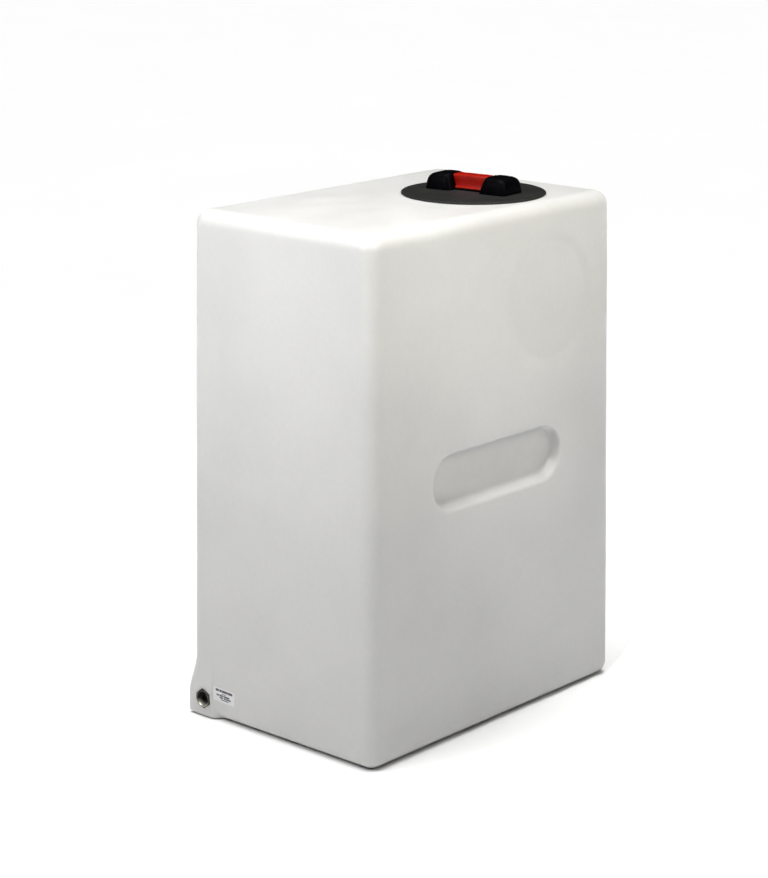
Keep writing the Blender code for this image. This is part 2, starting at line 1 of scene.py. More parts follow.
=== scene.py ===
"""Looks of an upright fresh water tank: a rotationally moulded shell, a vented bayonet
lid, a moulded-in brass outlet and a label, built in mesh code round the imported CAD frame.

Metres, +Z up. The origin is the centre of the base, the outlet is at the -X end, and the
front is the long wall on the -Y side.
"""

from math import atan2, copysign, cos, hypot, isclose, pi, radians, sin, sqrt, tan

import bmesh
import bpy
from mathutils import Matrix, Vector, noise
from mathutils.bvhtree import BVHTree


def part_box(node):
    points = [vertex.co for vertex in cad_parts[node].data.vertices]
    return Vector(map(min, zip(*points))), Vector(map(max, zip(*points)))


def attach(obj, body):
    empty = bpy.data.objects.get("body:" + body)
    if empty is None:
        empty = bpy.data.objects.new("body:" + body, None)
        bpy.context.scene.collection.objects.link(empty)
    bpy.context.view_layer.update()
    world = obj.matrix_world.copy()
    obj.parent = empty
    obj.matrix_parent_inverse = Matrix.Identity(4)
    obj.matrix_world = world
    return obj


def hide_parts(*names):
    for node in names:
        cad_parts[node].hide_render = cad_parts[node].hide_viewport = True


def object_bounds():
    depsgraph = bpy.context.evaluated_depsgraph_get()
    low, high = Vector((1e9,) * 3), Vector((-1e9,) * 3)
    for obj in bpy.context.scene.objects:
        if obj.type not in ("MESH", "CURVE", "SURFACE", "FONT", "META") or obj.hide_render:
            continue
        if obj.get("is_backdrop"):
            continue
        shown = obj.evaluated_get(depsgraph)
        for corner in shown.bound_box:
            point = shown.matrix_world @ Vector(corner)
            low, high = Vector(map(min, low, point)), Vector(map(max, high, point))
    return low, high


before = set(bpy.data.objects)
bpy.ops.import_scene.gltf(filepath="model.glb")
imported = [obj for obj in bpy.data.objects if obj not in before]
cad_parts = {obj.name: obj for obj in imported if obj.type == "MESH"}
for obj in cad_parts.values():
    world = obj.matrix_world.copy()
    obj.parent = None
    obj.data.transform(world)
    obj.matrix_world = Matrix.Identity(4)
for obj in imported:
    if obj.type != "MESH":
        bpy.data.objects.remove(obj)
cad_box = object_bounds()

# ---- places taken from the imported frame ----
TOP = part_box("tank_body")[1].z
DISC_LOW, DISC_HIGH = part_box("lid_disc")
LID_X = (DISC_LOW.x + DISC_HIGH.x) / 2
LID_Y = (DISC_LOW.y + DISC_HIGH.y) / 2
LID_RADIUS = (DISC_HIGH.x - DISC_LOW.x) / 2
OUTLET_LOW, OUTLET_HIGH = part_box("outlet_insert")
OUTLET_Y = (OUTLET_LOW.y + OUTLET_HIGH.y) / 2
OUTLET_Z = (OUTLET_LOW.z + OUTLET_HIGH.z) / 2
LABEL_LOW, LABEL_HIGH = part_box("data_label")
GRIP_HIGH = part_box("lid_grip")[1]
CAP_LOW, CAP_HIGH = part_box("vent_cap")

# ---- dimensions shared with the CAD ----
GAP = 0.0003
BASE_X = 0.25325
BASE_Y = 0.1668
DRAFT = radians(0.825)
SLOPE = tan(DRAFT)
WALL = 0.005
EDGE_RADIUS = 0.020
CORNER_RADIUS = 0.021
CORNER_LEAST = 0.004

POCKET_STRAIGHT = 0.09325         # half the straight part of the strap recess
POCKET_RADIUS = 0.04075
POCKET_DEPTH = 0.015
POCKET_LEVEL = 0.3518
DISH_RADIUS = 0.095
DISH_DEPTH = 0.003
DISH_X = 0.108
DISH_LEVEL = 0.560

BOSS_OUT = 0.003                  # flat pad round the outlet, filling out the corner
BOSS_EDGE_RADIUS = 0.0074
BOSS_CORNER_RADIUS = 0.004
BOSS_FULL_Y = 0.1245
BOSS_END_Y = 0.1218               # where it meets the plain wall beside the label
BOSS_FOOT_Y = 0.1084              # and at the floor, where it spreads
BOSS_FOOT_TOP = 0.028
BOSS_FULL_Z = 0.030
BOSS_END_Z = 0.084
BOSS_WRAP = 0.030

ACROSS_FLATS = 0.0240
OUTLET_BORE = 0.0093
OUTLET_TWIST = radians(23)
OUTLET_LENGTH = OUTLET_HIGH.x - OUTLET_LOW.x
THREAD_PITCH = 0.00181
THREAD_DEPTH = 0.00100

MOUTH_RADIUS = 0.0768
MOUTH_RECESS_RADIUS = 0.0912
MOUTH_RECESS_DEPTH = 0.0050
COLLAR_RADIUS = 0.099
COLLAR_DEPTH = 0.0145
NECK_BORE = 0.0715
NECK_BARREL = 0.0762
NECK_FLANGE = 0.0905
NECK_DEPTH = 0.034
LEDGE_RADIUS = 0.0682
LEDGE_LOW = -0.0220
LEDGE_THICKNESS = 0.0040
LEDGE_ARC = radians(50)
NECK_SCREW_CIRCLE = 0.0840
SCREW_HEAD = 0.0037
SCREW_SHANK = 0.0018

DISC_UNDER = 0.0005               # heights of the lid are above the tank's top
DISC_RIM = 0.0030
DISC_CROWN = 0.0040
PLUG_RADIUS = 0.0672
PLUG_INNER = 0.0640
PLUG_DEPTH = 0.026
LUG_RADIUS = 0.0706
LUG_THICKNESS = 0.0035
LUG_ARC = radians(40)
VENT_BORE = 0.0062
STEM_RADIUS = 0.0039

GRIP_TOP = GRIP_HIGH.z - TOP
GRIP_FOOT = DISC_CROWN + GAP
GRIP_TURN = radians(7)       # how far the closed lid's grip lies from the Y axis
GRIP_HALF_LENGTH = 0.0635
GRIP_HALF_WIDTH = 0.025
GRIP_SCREW_X = 0.013
GRIP_SCREW_Y = 0.044
PAD_INNER_LOW = 0.0215
PAD_INNER_HIGH = 0.0280
BRIDGE_HALF_WIDTH = 0.013
BRIDGE_TOP = GRIP_FOOT + 0.0018
CAP_FOOT = CAP_LOW.z - TOP
CAP_TOP = CAP_HIGH.z - TOP
CAP_HALF_WIDTH = 0.0098
CAP_LIP = 0.0025
VENT_SEAL_RADIUS = 0.0105
VENT_SEAL_THICKNESS = 0.0012


# ---- small maths ----
def smooth(value):
    """0 to 1 with level ends."""
    value = min(max(value, 0.0), 1.0)
    return value * value * (3 - 2 * value)


def spread(low, high, step):
    """Even values from low to high, about this far apart, with both ends."""
    count = max(1, round(abs(high - low) / step))
    return [low + (high - low) * k / count for k in range(count + 1)]


def chained(*runs):
    """Runs of values joined end to end, each shared end kept once."""
    values = list(runs[0])
    for run in runs[1:]:
        values += list(run)[1:]
    return values


def drop_in(radius, from_edge):
    """How far a rounded edge has pulled in, this far from the flat beyond it."""
    if from_edge >= radius:
        return 0.0
    return radius - sqrt(max(radius ** 2 - (radius - from_edge) ** 2, 0.0))


def polar(radius, angle):
    return radius * cos(angle), radius * sin(angle)


# ---- materials ----
class Nodes:
    """A node tree, and short ways to add to it."""

    def __init__(self, tree):
        self.tree = tree

    def node(self, kind, inputs=(), **settings):
        """A node with these settings, and a value or a source for some of its inputs."""
        made = self.tree.nodes.new("ShaderNode" + kind)
        for key, value in settings.items():
            setattr(made, key, value)
        for name, value in dict(inputs).items():
            if isinstance(value, bpy.types.NodeSocket):
                self.link(value, made.inputs[name])
            else:
                made.inputs[name].default_value = value
        return made

    def link(self, source, socket):
        self.tree.links.new(source, socket)


class Finish(Nodes):
    """A Principled material made of a few procedural layers in the object's own metres."""

    def __init__(self, name, roughness, **constants):
        self.material = bpy.data.materials.new(name)
        self.material.use_nodes = True
        super().__init__(self.material.node_tree)
        self.shader = self.tree.nodes["Principled BSDF"]
        self.shader.inputs["Roughness"].default_value = roughness
        for socket, value in constants.items():
            self.shader.inputs[socket.replace("_", " ")].default_value = value
        self.place = self.node("TexCoord").outputs["Object"]
        self.normal = None

    def noise(self, scale, detail=3.0, grain=0.55, stretch=None):
        """A noise field, at this many features a metre."""
        made = self.node("TexNoise", {"Scale": scale, "Detail": detail, "Roughness": grain})
        place = self.place
        if stretch:
            place = self.node("Mapping", {"Scale": stretch, "Vector": place}).outputs["Vector"]
        self.link(place, made.inputs["Vector"])
        return made.outputs["Fac"]

    def specks(self, scale):
        return self.node("TexVoronoi", {"Scale": scale, "Vector": self.place}).outputs["Distance"]

    def attribute(self, name):
        return self.node("Attribute", attribute_name=name).outputs["Fac"]

    def edges(self, low, high):
        """1 where the surface is an outer edge."""
        made = self.node("NewGeometry").outputs["Pointiness"]
        return self.ranged(made, low, high, 0.0, 1.0)

    def ranged(self, value, low, high, to_low, to_high):
        limits = {"From Min": low, "From Max": high, "To Min": to_low, "To Max": to_high}
        return self.node("MapRange", {**limits, "Value": value}).outputs["Result"]

    def colours(self, field, *stops):
        """A noise with these settings in colours: each stop is (place, (red, green, blue))."""
        field = self.noise(*field)
        made = self.node("ValToRGB")
        elements = made.color_ramp.elements
        while len(elements) < len(stops):
            elements.new(0.5)
        for element, (place, colour) in zip(elements, stops):
            element.position = place
            element.color = (*colour, 1.0)
        self.link(field, made.inputs["Fac"])
        return made.outputs["Color"]

    def mixed(self, share, first, second, blend="MIX"):
        made = self.node("Mix", {"Factor": share}, data_type="RGBA", blend_type=blend)
        ends = [socket for socket in made.inputs if socket.type == "RGBA"]
        for socket, value in zip(ends, (first, second)):
            if isinstance(value, tuple):
                socket.default_value = (*value, 1.0)
            else:
                self.link(value, socket)
        return next(socket for socket in made.outputs if socket.type == "RGBA")

    def colour(self, value):
        self.link(value, self.shader.inputs["Base Color"])

    def roughness(self, field, low, high):
        """A noise with these settings, spread between two roughnesses."""
        value = self.ranged(self.noise(*field), 0.30, 0.70, low, high)
        self.link(value, self.shader.inputs["Roughness"])

    def bump(self, height, depth, strength):
        """Adds relief of this depth in metres."""
        made = self.node("Bump", {"Strength": strength, "Distance": depth, "Height": height})
        if self.normal:
            self.link(self.normal, made.inputs["Normal"])
        self.normal = made.outputs["Normal"]
        self.link(self.normal, self.shader.inputs["Normal"])


def moulded_polyethylene():
    """Natural polyethylene: milky, a little uneven in thickness, with a soft orange peel."""
    finish = Finish(
        "natural_polyethylene", 0.42, Subsurface_Weight=0.30, Subsurface_Scale=0.010,
        Subsurface_Radius=(1.0, 0.95, 0.85), IOR=1.51, Specular_IOR_Level=0.45,
    )
    tone = finish.colours(
        (7.0, 3.0, 0.5), (0.30, (0.585, 0.583, 0.577)),
        (0.52, (0.608, 0.606, 0.599)), (0.72, (0.626, 0.623, 0.615)),
    )
    speck = finish.ranged(finish.noise(160.0, 4.0, 0.6), 0.30, 0.70, 0.0, 1.0)
    finish.colour(finish.mixed(speck, tone, (0.97, 0.97, 0.97), "MULTIPLY"))
    finish.roughness((24.0, 4.0), 0.36, 0.48)
    finish.bump(finish.noise(420.0, 2.0), 0.00005, 0.55)
    finish.bump(finish.noise(34.0, 2.0), 0.00035, 0.35)
    return finish.material


def lid_plastic():
    """Black polypropylene with a matt moulded grain, dusted grey by use."""
    finish = Finish("lid_polypropylene", 0.62, IOR=1.49, Specular_IOR_Level=0.25)
    dust = finish.colours(
        (38.0, 5.0, 0.6), (0.34, (0.0058, 0.0058, 0.0056)),
        (0.56, (0.0092, 0.0092, 0.0088)), (0.76, (0.0150, 0.0148, 0.0138)),
    )
    finish.colour(finish.mixed(finish.edges(0.515, 0.58), dust, (0.020, 0.020, 0.020)))
    finish.roughness((60.0, 4.0), 0.58, 0.74)
    finish.bump(finish.specks(1500.0), 0.00006, 0.5)
    finish.bump(finish.noise(45.0, 2.0), 0.00020, 0.3)
    return finish.material


def grip_plastic():
    """Smoother, blacker plastic of the pads, rubbed on their edges."""
    finish = Finish("grip_plastic", 0.44, IOR=1.5, Specular_IOR_Level=0.025)
    base = finish.colours(
        (70.0, 4.0, 0.6), (0.35, (0.0006, 0.0006, 0.0011)),
        (0.70, (0.0016, 0.0016, 0.0024)),
    )
    finish.colour(finish.mixed(finish.edges(0.52, 0.62), base, (0.005, 0.005, 0.006)))
    finish.roughness((110.0, 4.0), 0.38, 0.52)
    finish.bump(finish.specks(1300.0), 0.00004, 0.35)
    finish.bump(finish.noise(60.0, 2.0), 0.00015, 0.3)
    return finish.material


def vent_plastic():
    """Red pull cap, glossy, a little darker in its lows and paler on its rubbed edges."""
    finish = Finish(
        "vent_plastic", 0.34, IOR=1.5, Specular_IOR_Level=0.14,
        Subsurface_Weight=0.08, Subsurface_Scale=0.002, Subsurface_Radius=(1.0, 0.25, 0.1),
    )
    base = finish.colours(
        (85.0, 4.0, 0.6), (0.32, (0.270, 0.0030, 0.0006)),
        (0.68, (0.335, 0.0048, 0.0010)),
    )
    finish.colour(finish.mixed(finish.edges(0.515, 0.60), base, (0.400, 0.025, 0.012)))
    finish.roughness((120.0, 4.0), 0.28, 0.42)
    finish.bump(finish.specks(1600.0), 0.00003, 0.3)
    finish.bump(finish.noise(60.0, 2.0), 0.00012, 0.3)
    return finish.material


def seal_rubber():
    finish = Finish("seal_rubber", 0.75, IOR=1.52, Specular_IOR_Level=0.35)
    finish.colour(finish.colours(
        (150.0, 5.0, 0.65), (0.35, (0.010, 0.010, 0.010)),
        (0.70, (0.026, 0.026, 0.025)),
    ))
    finish.roughness((90.0,), 0.66, 0.84)
    finish.bump(finish.noise(1400.0, 2.0), 0.00006, 0.5)
    return finish.material


def screw_steel():
    finish = Finish("screw_steel", 0.30, Metallic=1.0)
    finish.colour(finish.colours(
        (300.0, 4.0, 0.6), (0.35, (0.500, 0.500, 0.490)), (0.70, (0.660, 0.655, 0.640)),
    ))
    finish.roughness((900.0, 3.0, 0.6, (1.0, 1.0, 0.1)), 0.22, 0.42)
    finish.bump(finish.noise(2500.0, 2.0), 0.00002, 0.4)
    return finish.material


def plated_brass():
    """Nickel plating gone dark and dull, with a painted highlight on the lower side of the mouth
    and painted shade deeper in the upper side of the bore.
    """
    finish = Finish("plated_brass", 0.32, Metallic=0.7)
    dull = finish.colours(
        (240.0, 5.0, 0.65),
        (0.32, (0.040, 0.038, 0.030)), (0.55, (0.085, 0.080, 0.066)), (0.75, (0.130, 0.124, 0.104)),
    )
    edged = finish.mixed(finish.edges(0.55, 0.66), dull, (0.170, 0.150, 0.110))
    # Painted shade: the inside of the bore, away from its lower side, is painted near black.
    with_painted_shade = finish.mixed(finish.attribute("painted_shade"), edged, (0.012, 0.011, 0.010))
    # Painted highlight: the lower side of the mouth is painted pale, where light would catch the
    # lower thread.
    finish.colour(finish.mixed(finish.attribute("painted_highlight"), with_painted_shade, (0.720, 0.700, 0.610)))
    finish.roughness((500.0, 4.0), 0.24, 0.46)
    finish.bump(finish.noise(900.0), 0.00004, 0.5)
    return finish.material


def label_film():
    """White film with rows of grey bars where a real label has its print."""
    finish = Finish("label_film", 0.40, IOR=1.46, Specular_IOR_Level=0.5)
    film = finish.colours(
        (120.0,), (0.35, (0.715, 0.720, 0.735)), (0.70, (0.755, 0.760, 0.775)),
    )
    finish.colour(finish.mixed(finish.attribute("ink"), film, (0.060, 0.060, 0.063)))
    finish.roughness((200.0,), 0.34, 0.50)
    finish.bump(finish.noise(700.0, 2.0), 0.00002, 0.4)
    return finish.material


MATERIALS = {
    "shell": moulded_polyethylene(),
    "lid_plastic": lid_plastic(),
    "grip_plastic": grip_plastic(),
    "vent_plastic": vent_plastic(),
    "rubber": seal_rubber(),
    "steel": screw_steel(),
    "outlet_metal": plated_brass(),
    "label": label_film(),
}


# ---- making pieces ----
def shaded(mesh, sharp):
    """Smooth, apart from edges sharper than this many degrees."""
    mesh.shade_smooth()
    mesh.set_sharp_from_angle(angle=radians(sharp))


def mesh_object(name, points, faces, sharp=40.0):
    """A mesh with its normals facing out."""
    mesh = bpy.data.meshes.new(name)
    mesh.from_pydata([tuple(p) for p in points], [], faces)
    bm = bmesh.new()
    bm.from_mesh(mesh)
    bmesh.ops.recalc_face_normals(bm, faces=bm.faces)
    bm.to_mesh(mesh)
    bm.free()
    shaded(mesh, sharp)
    obj = bpy.data.objects.new(name, mesh)
    bpy.context.scene.collection.objects.link(obj)
    return obj


def cut(obj, shape, at, operation="DIFFERENCE", sharp=40.0):
    """Applies a Boolean with a solid of this shape, set in this frame."""
    other = piece("cutter", shape, at)
    modifier = obj.modifiers.new("cut", "BOOLEAN")
    modifier.operation = operation
    modifier.solver = "EXACT"
    modifier.object = other
    apply_modifiers(obj)
    bpy.data.objects.remove(other, do_unlink=True)
    shaded(obj.data, sharp)


def piece(name, shape, at, sharp=40.0):
    """A mesh object of this shape, set in this frame."""
    return mesh_object(name, *placed(shape, at), sharp)


def apply_modifiers(obj):
    """Replaces the mesh with what its modifiers make of it."""
    graph = bpy.context.evaluated_depsgraph_get()
    mesh = bpy.data.meshes.new_from_object(obj.evaluated_get(graph))
    obj.modifiers.clear()
    obj.data = mesh


def finished(obj, body, slot, *nodes):
    """Gives a piece its body and the material of its slot, and hides the CAD nodes it stands for.
    """
    obj.data.materials.clear()
    obj.data.materials.append(MATERIALS[slot])
    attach(obj, body)
    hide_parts(*nodes)
    return obj


def painted(obj, name, values):
    """Gives each point a value, for a material to read."""
    layer = obj.data.attributes.new(name, "FLOAT", "POINT")
    layer.data.foreach_set("value", values)


# ---- shapes ----
def joined(first, second):
    """The faces between two rings of as many points, given by their indices."""
    ends = [(k, (k + 1) % len(first)) for k in range(len(first))]
    return [[first[i], first[j], second[j], second[i]] for i, j in ends]


def lofted(rings, is_loop=False):
    """Points and faces through rings of equal length, closed at both ends or into a loop."""
    count = len(rings[0])
    points = [p for ring in rings for p in ring]
    places = [range(k * count, (k + 1) * count) for k in range(len(rings))]
    faces = [] if is_loop else [list(places[0]), list(places[-1])]
    after = places[1:] + places[:1] if is_loop else places[1:]
    for lower, upper in zip(places, after):
        faces += joined(lower, upper)
    return points, faces


def swept(profile, start=0.0, turn=2 * pi, steps=128):
    """A closed (radius, height) outline turned about Z, whole or as an arc."""
    whole = isclose(turn, 2 * pi)
    rings = []
    for step in range(steps if whole else steps + 1):
        angle = start + turn * step / steps
        rings.append([(*polar(r, angle), z) for r, z in profile])
    return lofted(rings, whole)


def circle(radius, height, sides):
    return [(*polar(radius, 2 * pi * k / sides), height) for k in range(sides)]


def turned(profile, sides):
    """A solid of (radius, height) rings about Z, from one end to the other."""
    return lofted([circle(radius, height, sides) for radius, height in profile])


def loop_round(c0, c1, r0, r1):
    """(column, row) of each point round a part of a grid, anticlockwise."""
    loop = [(c, r0) for c in range(c0, c1)] + [(c1, r) for r in range(r0, r1)]
    return loop + [(c, r1) for c in range(c1, c0, -1)] + [(c0, r) for r in range(r1, r0, -1)]


def softened(outline, radius, steps=3, is_closed=True):
    """The outline with each of its corners rounded by about this radius."""
    result = []
    last = len(outline) - 1
    for k, corner in enumerate(outline):
        if not is_closed and k in (0, last):
            result.append(corner)
            continue
        here = Vector(corner)
        before = Vector(outline[k - 1]) - here
        after = Vector(outline[(k + 1) % len(outline)]) - here
        start = here + before.normalized() * min(radius, before.length * 0.45)
        end = here + after.normalized() * min(radius, after.length * 0.45)
        for step in range(steps + 1):
            t = step / steps
            point = start * (1 - t) ** 2 + here * 2 * t * (1 - t) + end * t ** 2
            result.append(tuple(point))
    return result


def rounded_rectangle(x_low, x_high, y_low, y_high, radius, height, steps=6):
    corners = (
        (x_high - radius, y_low + radius, -90),
        (x_high - radius, y_high - radius, 0),
        (x_low + radius, y_high - radius, 90),
        (x_low + radius, y_low + radius, 180),
    )
    ring = []
    for centre_x, centre_y, start in corners:
        for k in range(steps + 1):
            x, y = polar(radius, radians(start + 90 * k / steps))
            ring.append((centre_x + x, centre_y + y, height))
    return ring


def placed(shape, matrix):
    points, faces = shape
    return [matrix @ Vector(p) for p in points], faces


def above_seat(x=0.0, y=0.0, z=0.0):
    """Frame on the lid's axis, with heights above the tank's top."""
    return Matrix.Translation((LID_X + x, LID_Y + y, TOP + z))


def grip_frame():
    """Frame on the lid's axis, turned with the grip: its local Y runs along the grip."""
    return above_seat() @ Matrix.Rotation(GRIP_TURN, 4, "Z")


# ---- tank shell ----
MIDDLE_FLAT_X = BASE_X - SLOPE * POCKET_LEVEL - CORNER_RADIUS
LOW_FLAT_Y = BASE_Y - CORNER_RADIUS
POCKET_X = 0.150                  # half the width of the wall's part that the recess takes
POCKET_LOW = 0.298
POCKET_HIGH = 0.420
DISH_PATCH = (0.003, 0.213, 0.455, 0.665)
POCKET_LEAN = 0.45                # the recess is steep at its top and gentle at its foot
CORNER_STEPS = 8
BASE_SHARES = (0.05, 0.3, 0.6, 0.85)
TOP_SHARES = (0.06, 0.2, 0.4, 0.6, 0.8, 0.94)


def long_wall_places():
    return chained(
        spread(-MIDDLE_FLAT_X, -POCKET_X, 0.013),
        spread(-POCKET_X, DISH_PATCH[0], 0.005),
        spread(DISH_PATCH[0], POCKET_X, 0.005),
        spread(POCKET_X, DISH_PATCH[1], 0.005),
        spread(DISH_PATCH[1], MIDDLE_FLAT_X, 0.007),
    )


def columns():
    """(wall or corner, place) of each upright line, anticlockwise from above."""
    xs = [x / MIDDLE_FLAT_X for x in long_wall_places()]
    ys = [y / LOW_FLAT_Y for y in spread(-LOW_FLAT_Y, LOW_FLAT_Y, 0.012)]
    fine_low, fine_high = BOSS_FOOT_Y - 0.012, BOSS_FULL_Y - 0.002
    ends = [y / LOW_FLAT_Y for y in chained(
        spread(LOW_FLAT_Y, fine_high, 0.004), spread(fine_high, fine_low, 0.0006),
        spread(fine_low, -LOW_FLAT_Y, 0.012),
    )]
    sides = (("front", xs), ("right", ys), ("rear", xs[::-1]), ("left", ends))
    result = []
    for quarter, (side, places) in enumerate(sides):
        result += [(side, place) for place in places]
        for k in range(1, CORNER_STEPS):
            result.append((quarter, radians(-90 + 90 * (quarter + k / CORNER_STEPS))))
    return result


COLUMNS = columns()


def boss_rise(y, z):
    """How far the outlet's boss stands out from the plain end wall."""
    end = BOSS_FOOT_Y + (BOSS_END_Y - BOSS_FOOT_Y) * smooth(z / BOSS_FOOT_TOP)
    share = smooth((y - end) / (BOSS_FULL_Y - end))
    share *= smooth((BOSS_END_Z - z) / (BOSS_END_Z - BOSS_FULL_Z))
    return share * (BOSS_OUT + drop_in(EDGE_RADIUS, z) - drop_in(BOSS_EDGE_RADIUS, z))


def boss_corner(half_x, half_y, corner, z):
    """Centre, radius and rear face of the squarer corner beside the outlet."""
    share = smooth((BOSS_END_Z - z) / (BOSS_END_Z - BOSS_FULL_Z))
    tight = drop_in(BOSS_EDGE_RADIUS, z)
    square = max(BOSS_CORNER_RADIUS - tight, CORNER_LEAST)
    radius = corner + (square - corner) * share
    out_x = half_x + boss_rise(half_y, z)
    out_y = half_y + share * (drop_in(EDGE_RADIUS, z) - tight)
    return out_x - radius, out_y - radius, radius, out_y


def outline(z, inset=0.0):
    """The shell's outline at one height, or the outline this far inside it."""
    pulled = drop_in(EDGE_RADIUS - inset, min(z - inset, TOP - inset - z))
    half_x = BASE_X - SLOPE * z - inset - pulled
    half_y = BASE_Y - SLOPE * z - inset - pulled
    corner = max(CORNER_RADIUS - inset - pulled, CORNER_LEAST)
    flat_x, flat_y = half_x - corner, half_y - corner
    boss = None if inset else boss_corner(half_x, half_y, corner, z)
    boss_x, boss_y, boss_radius, boss_out_y = boss or (flat_x, flat_y, corner, half_y)
    centres = ((flat_x, -flat_y), (flat_x, flat_y), (-boss_x, boss_y), (-flat_x, -flat_y))
    ring = []
    for kind, value in COLUMNS:
        if kind == "front":
            ring.append((value * flat_x, -half_y, z))
        elif kind == "right":
            ring.append((half_x, value * flat_y, z))
        elif kind == "rear":
            x = value * (boss_x if value < 0 else flat_x)
            wrap = smooth((BOSS_WRAP - boss_x - x) / BOSS_WRAP)
            ring.append((x, half_y + (boss_out_y - half_y) * wrap, z))
        elif kind == "left":
            y = value * (boss_y if value > 0 else flat_y)
            rise = 0.0 if inset else boss_rise(y, z)
            ring.append((-half_x - rise, y, z))
        else:
            x, y = polar(boss_radius if kind == 2 else corner, value)
            ring.append((centres[kind][0] + x, centres[kind][1] + y, z))
    return ring


def shrunk(ring, share, height):
    return [(x * share, y * share, height) for x, y, _ in ring]


def mouth_ring(radius, height):
    """A circle on the lid's axis, each point on the line to its column."""
    ring = []
    for x, y, _ in outline(TOP):
        dx, dy = polar(radius, atan2(y - LID_Y, x - LID_X))
        ring.append((LID_X + dx, LID_Y + dy, TOP + height))
    return ring


def mixed_rings(first, second, shares):
    for share in shares:
        yield [tuple(Vector(a).lerp(Vector(b), share)) for a, b in zip(first, second)]


def rounding(radius, steps):
    return [radius * (1 - cos(radians(90 * k / steps))) for k in range(steps + 1)]


def outer_levels():
    low = rounding(EDGE_RADIUS, 10)
    high = [TOP - z for z in reversed(low)]
    return chained(
        low,
        spread(EDGE_RADIUS, BOSS_END_Z, 0.003),
        spread(BOSS_END_Z, POCKET_LOW, 0.012),
        spread(POCKET_LOW, POCKET_HIGH, 0.005),
        spread(POCKET_HIGH, DISH_PATCH[2], 0.009),
        spread(DISH_PATCH[2], DISH_PATCH[3], 0.006),
        [DISH_PATCH[3], TOP - EDGE_RADIUS],
        high,
    )


def inner_levels():
    low = [WALL + z for z in rounding(EDGE_RADIUS - WALL, 5)]
    high = [TOP - z for z in reversed(low)]
    return chained(
        low,
        spread(EDGE_RADIUS, POCKET_LOW, 0.040),
        spread(POCKET_LOW, POCKET_HIGH, 0.0075),
        spread(POCKET_HIGH, TOP - EDGE_RADIUS, 0.020),
        high,
    )


def backed(ring):
    """An inner ring pushed in behind the recess and the dish."""
    pushed = []
    for (x, y, z), (kind, _) in zip(ring, COLUMNS):
        depth = 0.0
        if kind in ("front", "rear"):
            reach = hypot(max(abs(x) - POCKET_STRAIGHT, 0.0), z - POCKET_LEVEL)
            depth = POCKET_DEPTH * smooth((POCKET_RADIUS + WALL - reach) / 0.012)
        if kind == "front":
            reach = hypot(x - DISH_X, z - DISH_LEVEL)
            depth += DISH_DEPTH * smooth((DISH_RADIUS + WALL - reach) / 0.010)
        pushed.append((x, y - copysign(depth, y), z))
    return pushed


def shell_rings():
    """Every ring of the shell, from under the base, over the top and down the inside."""
    base = outline(0.0)
    top = outline(TOP)
    floor = outline(WALL, WALL)
    ceiling = outline(TOP - WALL, WALL)
    recess, deep = MOUTH_RECESS_RADIUS, -MOUTH_RECESS_DEPTH
    collar, low = COLLAR_RADIUS, -COLLAR_DEPTH
    lip = (
        (recess + 0.0022, 0.0), (recess + 0.0012, -0.0002), (recess + 0.0004, -0.0008),
        (recess, -0.0020), (recess, deep + 0.0006), (recess - 0.0006, deep),
        (MOUTH_RADIUS + 0.0006, deep), (MOUTH_RADIUS, deep - 0.0006),
        (MOUTH_RADIUS, low + 0.0010), (MOUTH_RADIUS + 0.0010, low), (collar - 0.0030, low),
        (collar - 0.0008, low + 0.0010), (collar, low + 0.0030), (collar, -WALL - 0.0020),
        (collar + 0.0020, -WALL),
    )
    mouth = [mouth_ring(radius, height) for radius, height in lip]
    rings = [shrunk(base, share, 0.0) for share in BASE_SHARES]
    rings += [outline(z) for z in outer_levels()]
    rings += mixed_rings(top, mouth[0], TOP_SHARES)
    rings += mouth
    rings += mixed_rings(mouth[-1], ceiling, (0.3, 0.7))
    rings += [backed(outline(z, WALL)) for z in reversed(inner_levels())]
    rings += [shrunk(floor, share, WALL) for share in (0.7, 0.35, 0.05)]
    return rings


def recess_profile(depth, lip, foot, angle):
    """(inset, depth) across the edge of a recess: a lip, a slope and a rounded foot."""
    steps = 5
    angle = radians(angle)
    slope = (depth - (lip + foot) * (1 - cos(angle))) / sin(angle)
    start = (lip * sin(angle), lip * (1 - cos(angle)))
    end = (start[0] + slope * cos(angle), start[1] + slope * sin(angle))
    profile = []
    for k in range(steps + 1):
        turn = angle * k / steps
        profile.append((lip * sin(turn), lip * (1 - cos(turn))))
    profile += [tuple(Vector(start).lerp(Vector(end), t)) for t in (0.33, 0.67, 1.0)]
    for k in range(1, steps + 1):
        turn = angle * (1 - k / steps)
        run = end[0] + foot * (sin(angle) - sin(turn))
        profile.append((run, depth - foot * (1 - cos(turn))))
    return profile


def within(value, low, high):
    return low - 1e-6 <= value <= high + 1e-6


def patch_frame(side, x_low, x_high, z_low, z_high):
    """Columns, rings and the loop of vertices round a part of a long wall."""
    xs = {c: value * MIDDLE_FLAT_X for c, (kind, value) in enumerate(COLUMNS) if kind == side}
    wanted = sorted(c for c, x in xs.items() if within(x, x_low, x_high))
    levels = enumerate(outer_levels(), len(BASE_SHARES))
    rows = [row for row, z in levels if within(z, z_low, z_high)]
    c0, c1, r0, r1 = wanted[0], wanted[-1], rows[0], rows[-1]
    loop = [(r * len(COLUMNS) + c, xs[c]) for c, r in loop_round(c0, c1, r0, r1)]
    return (c0, c1, r0, r1), loop


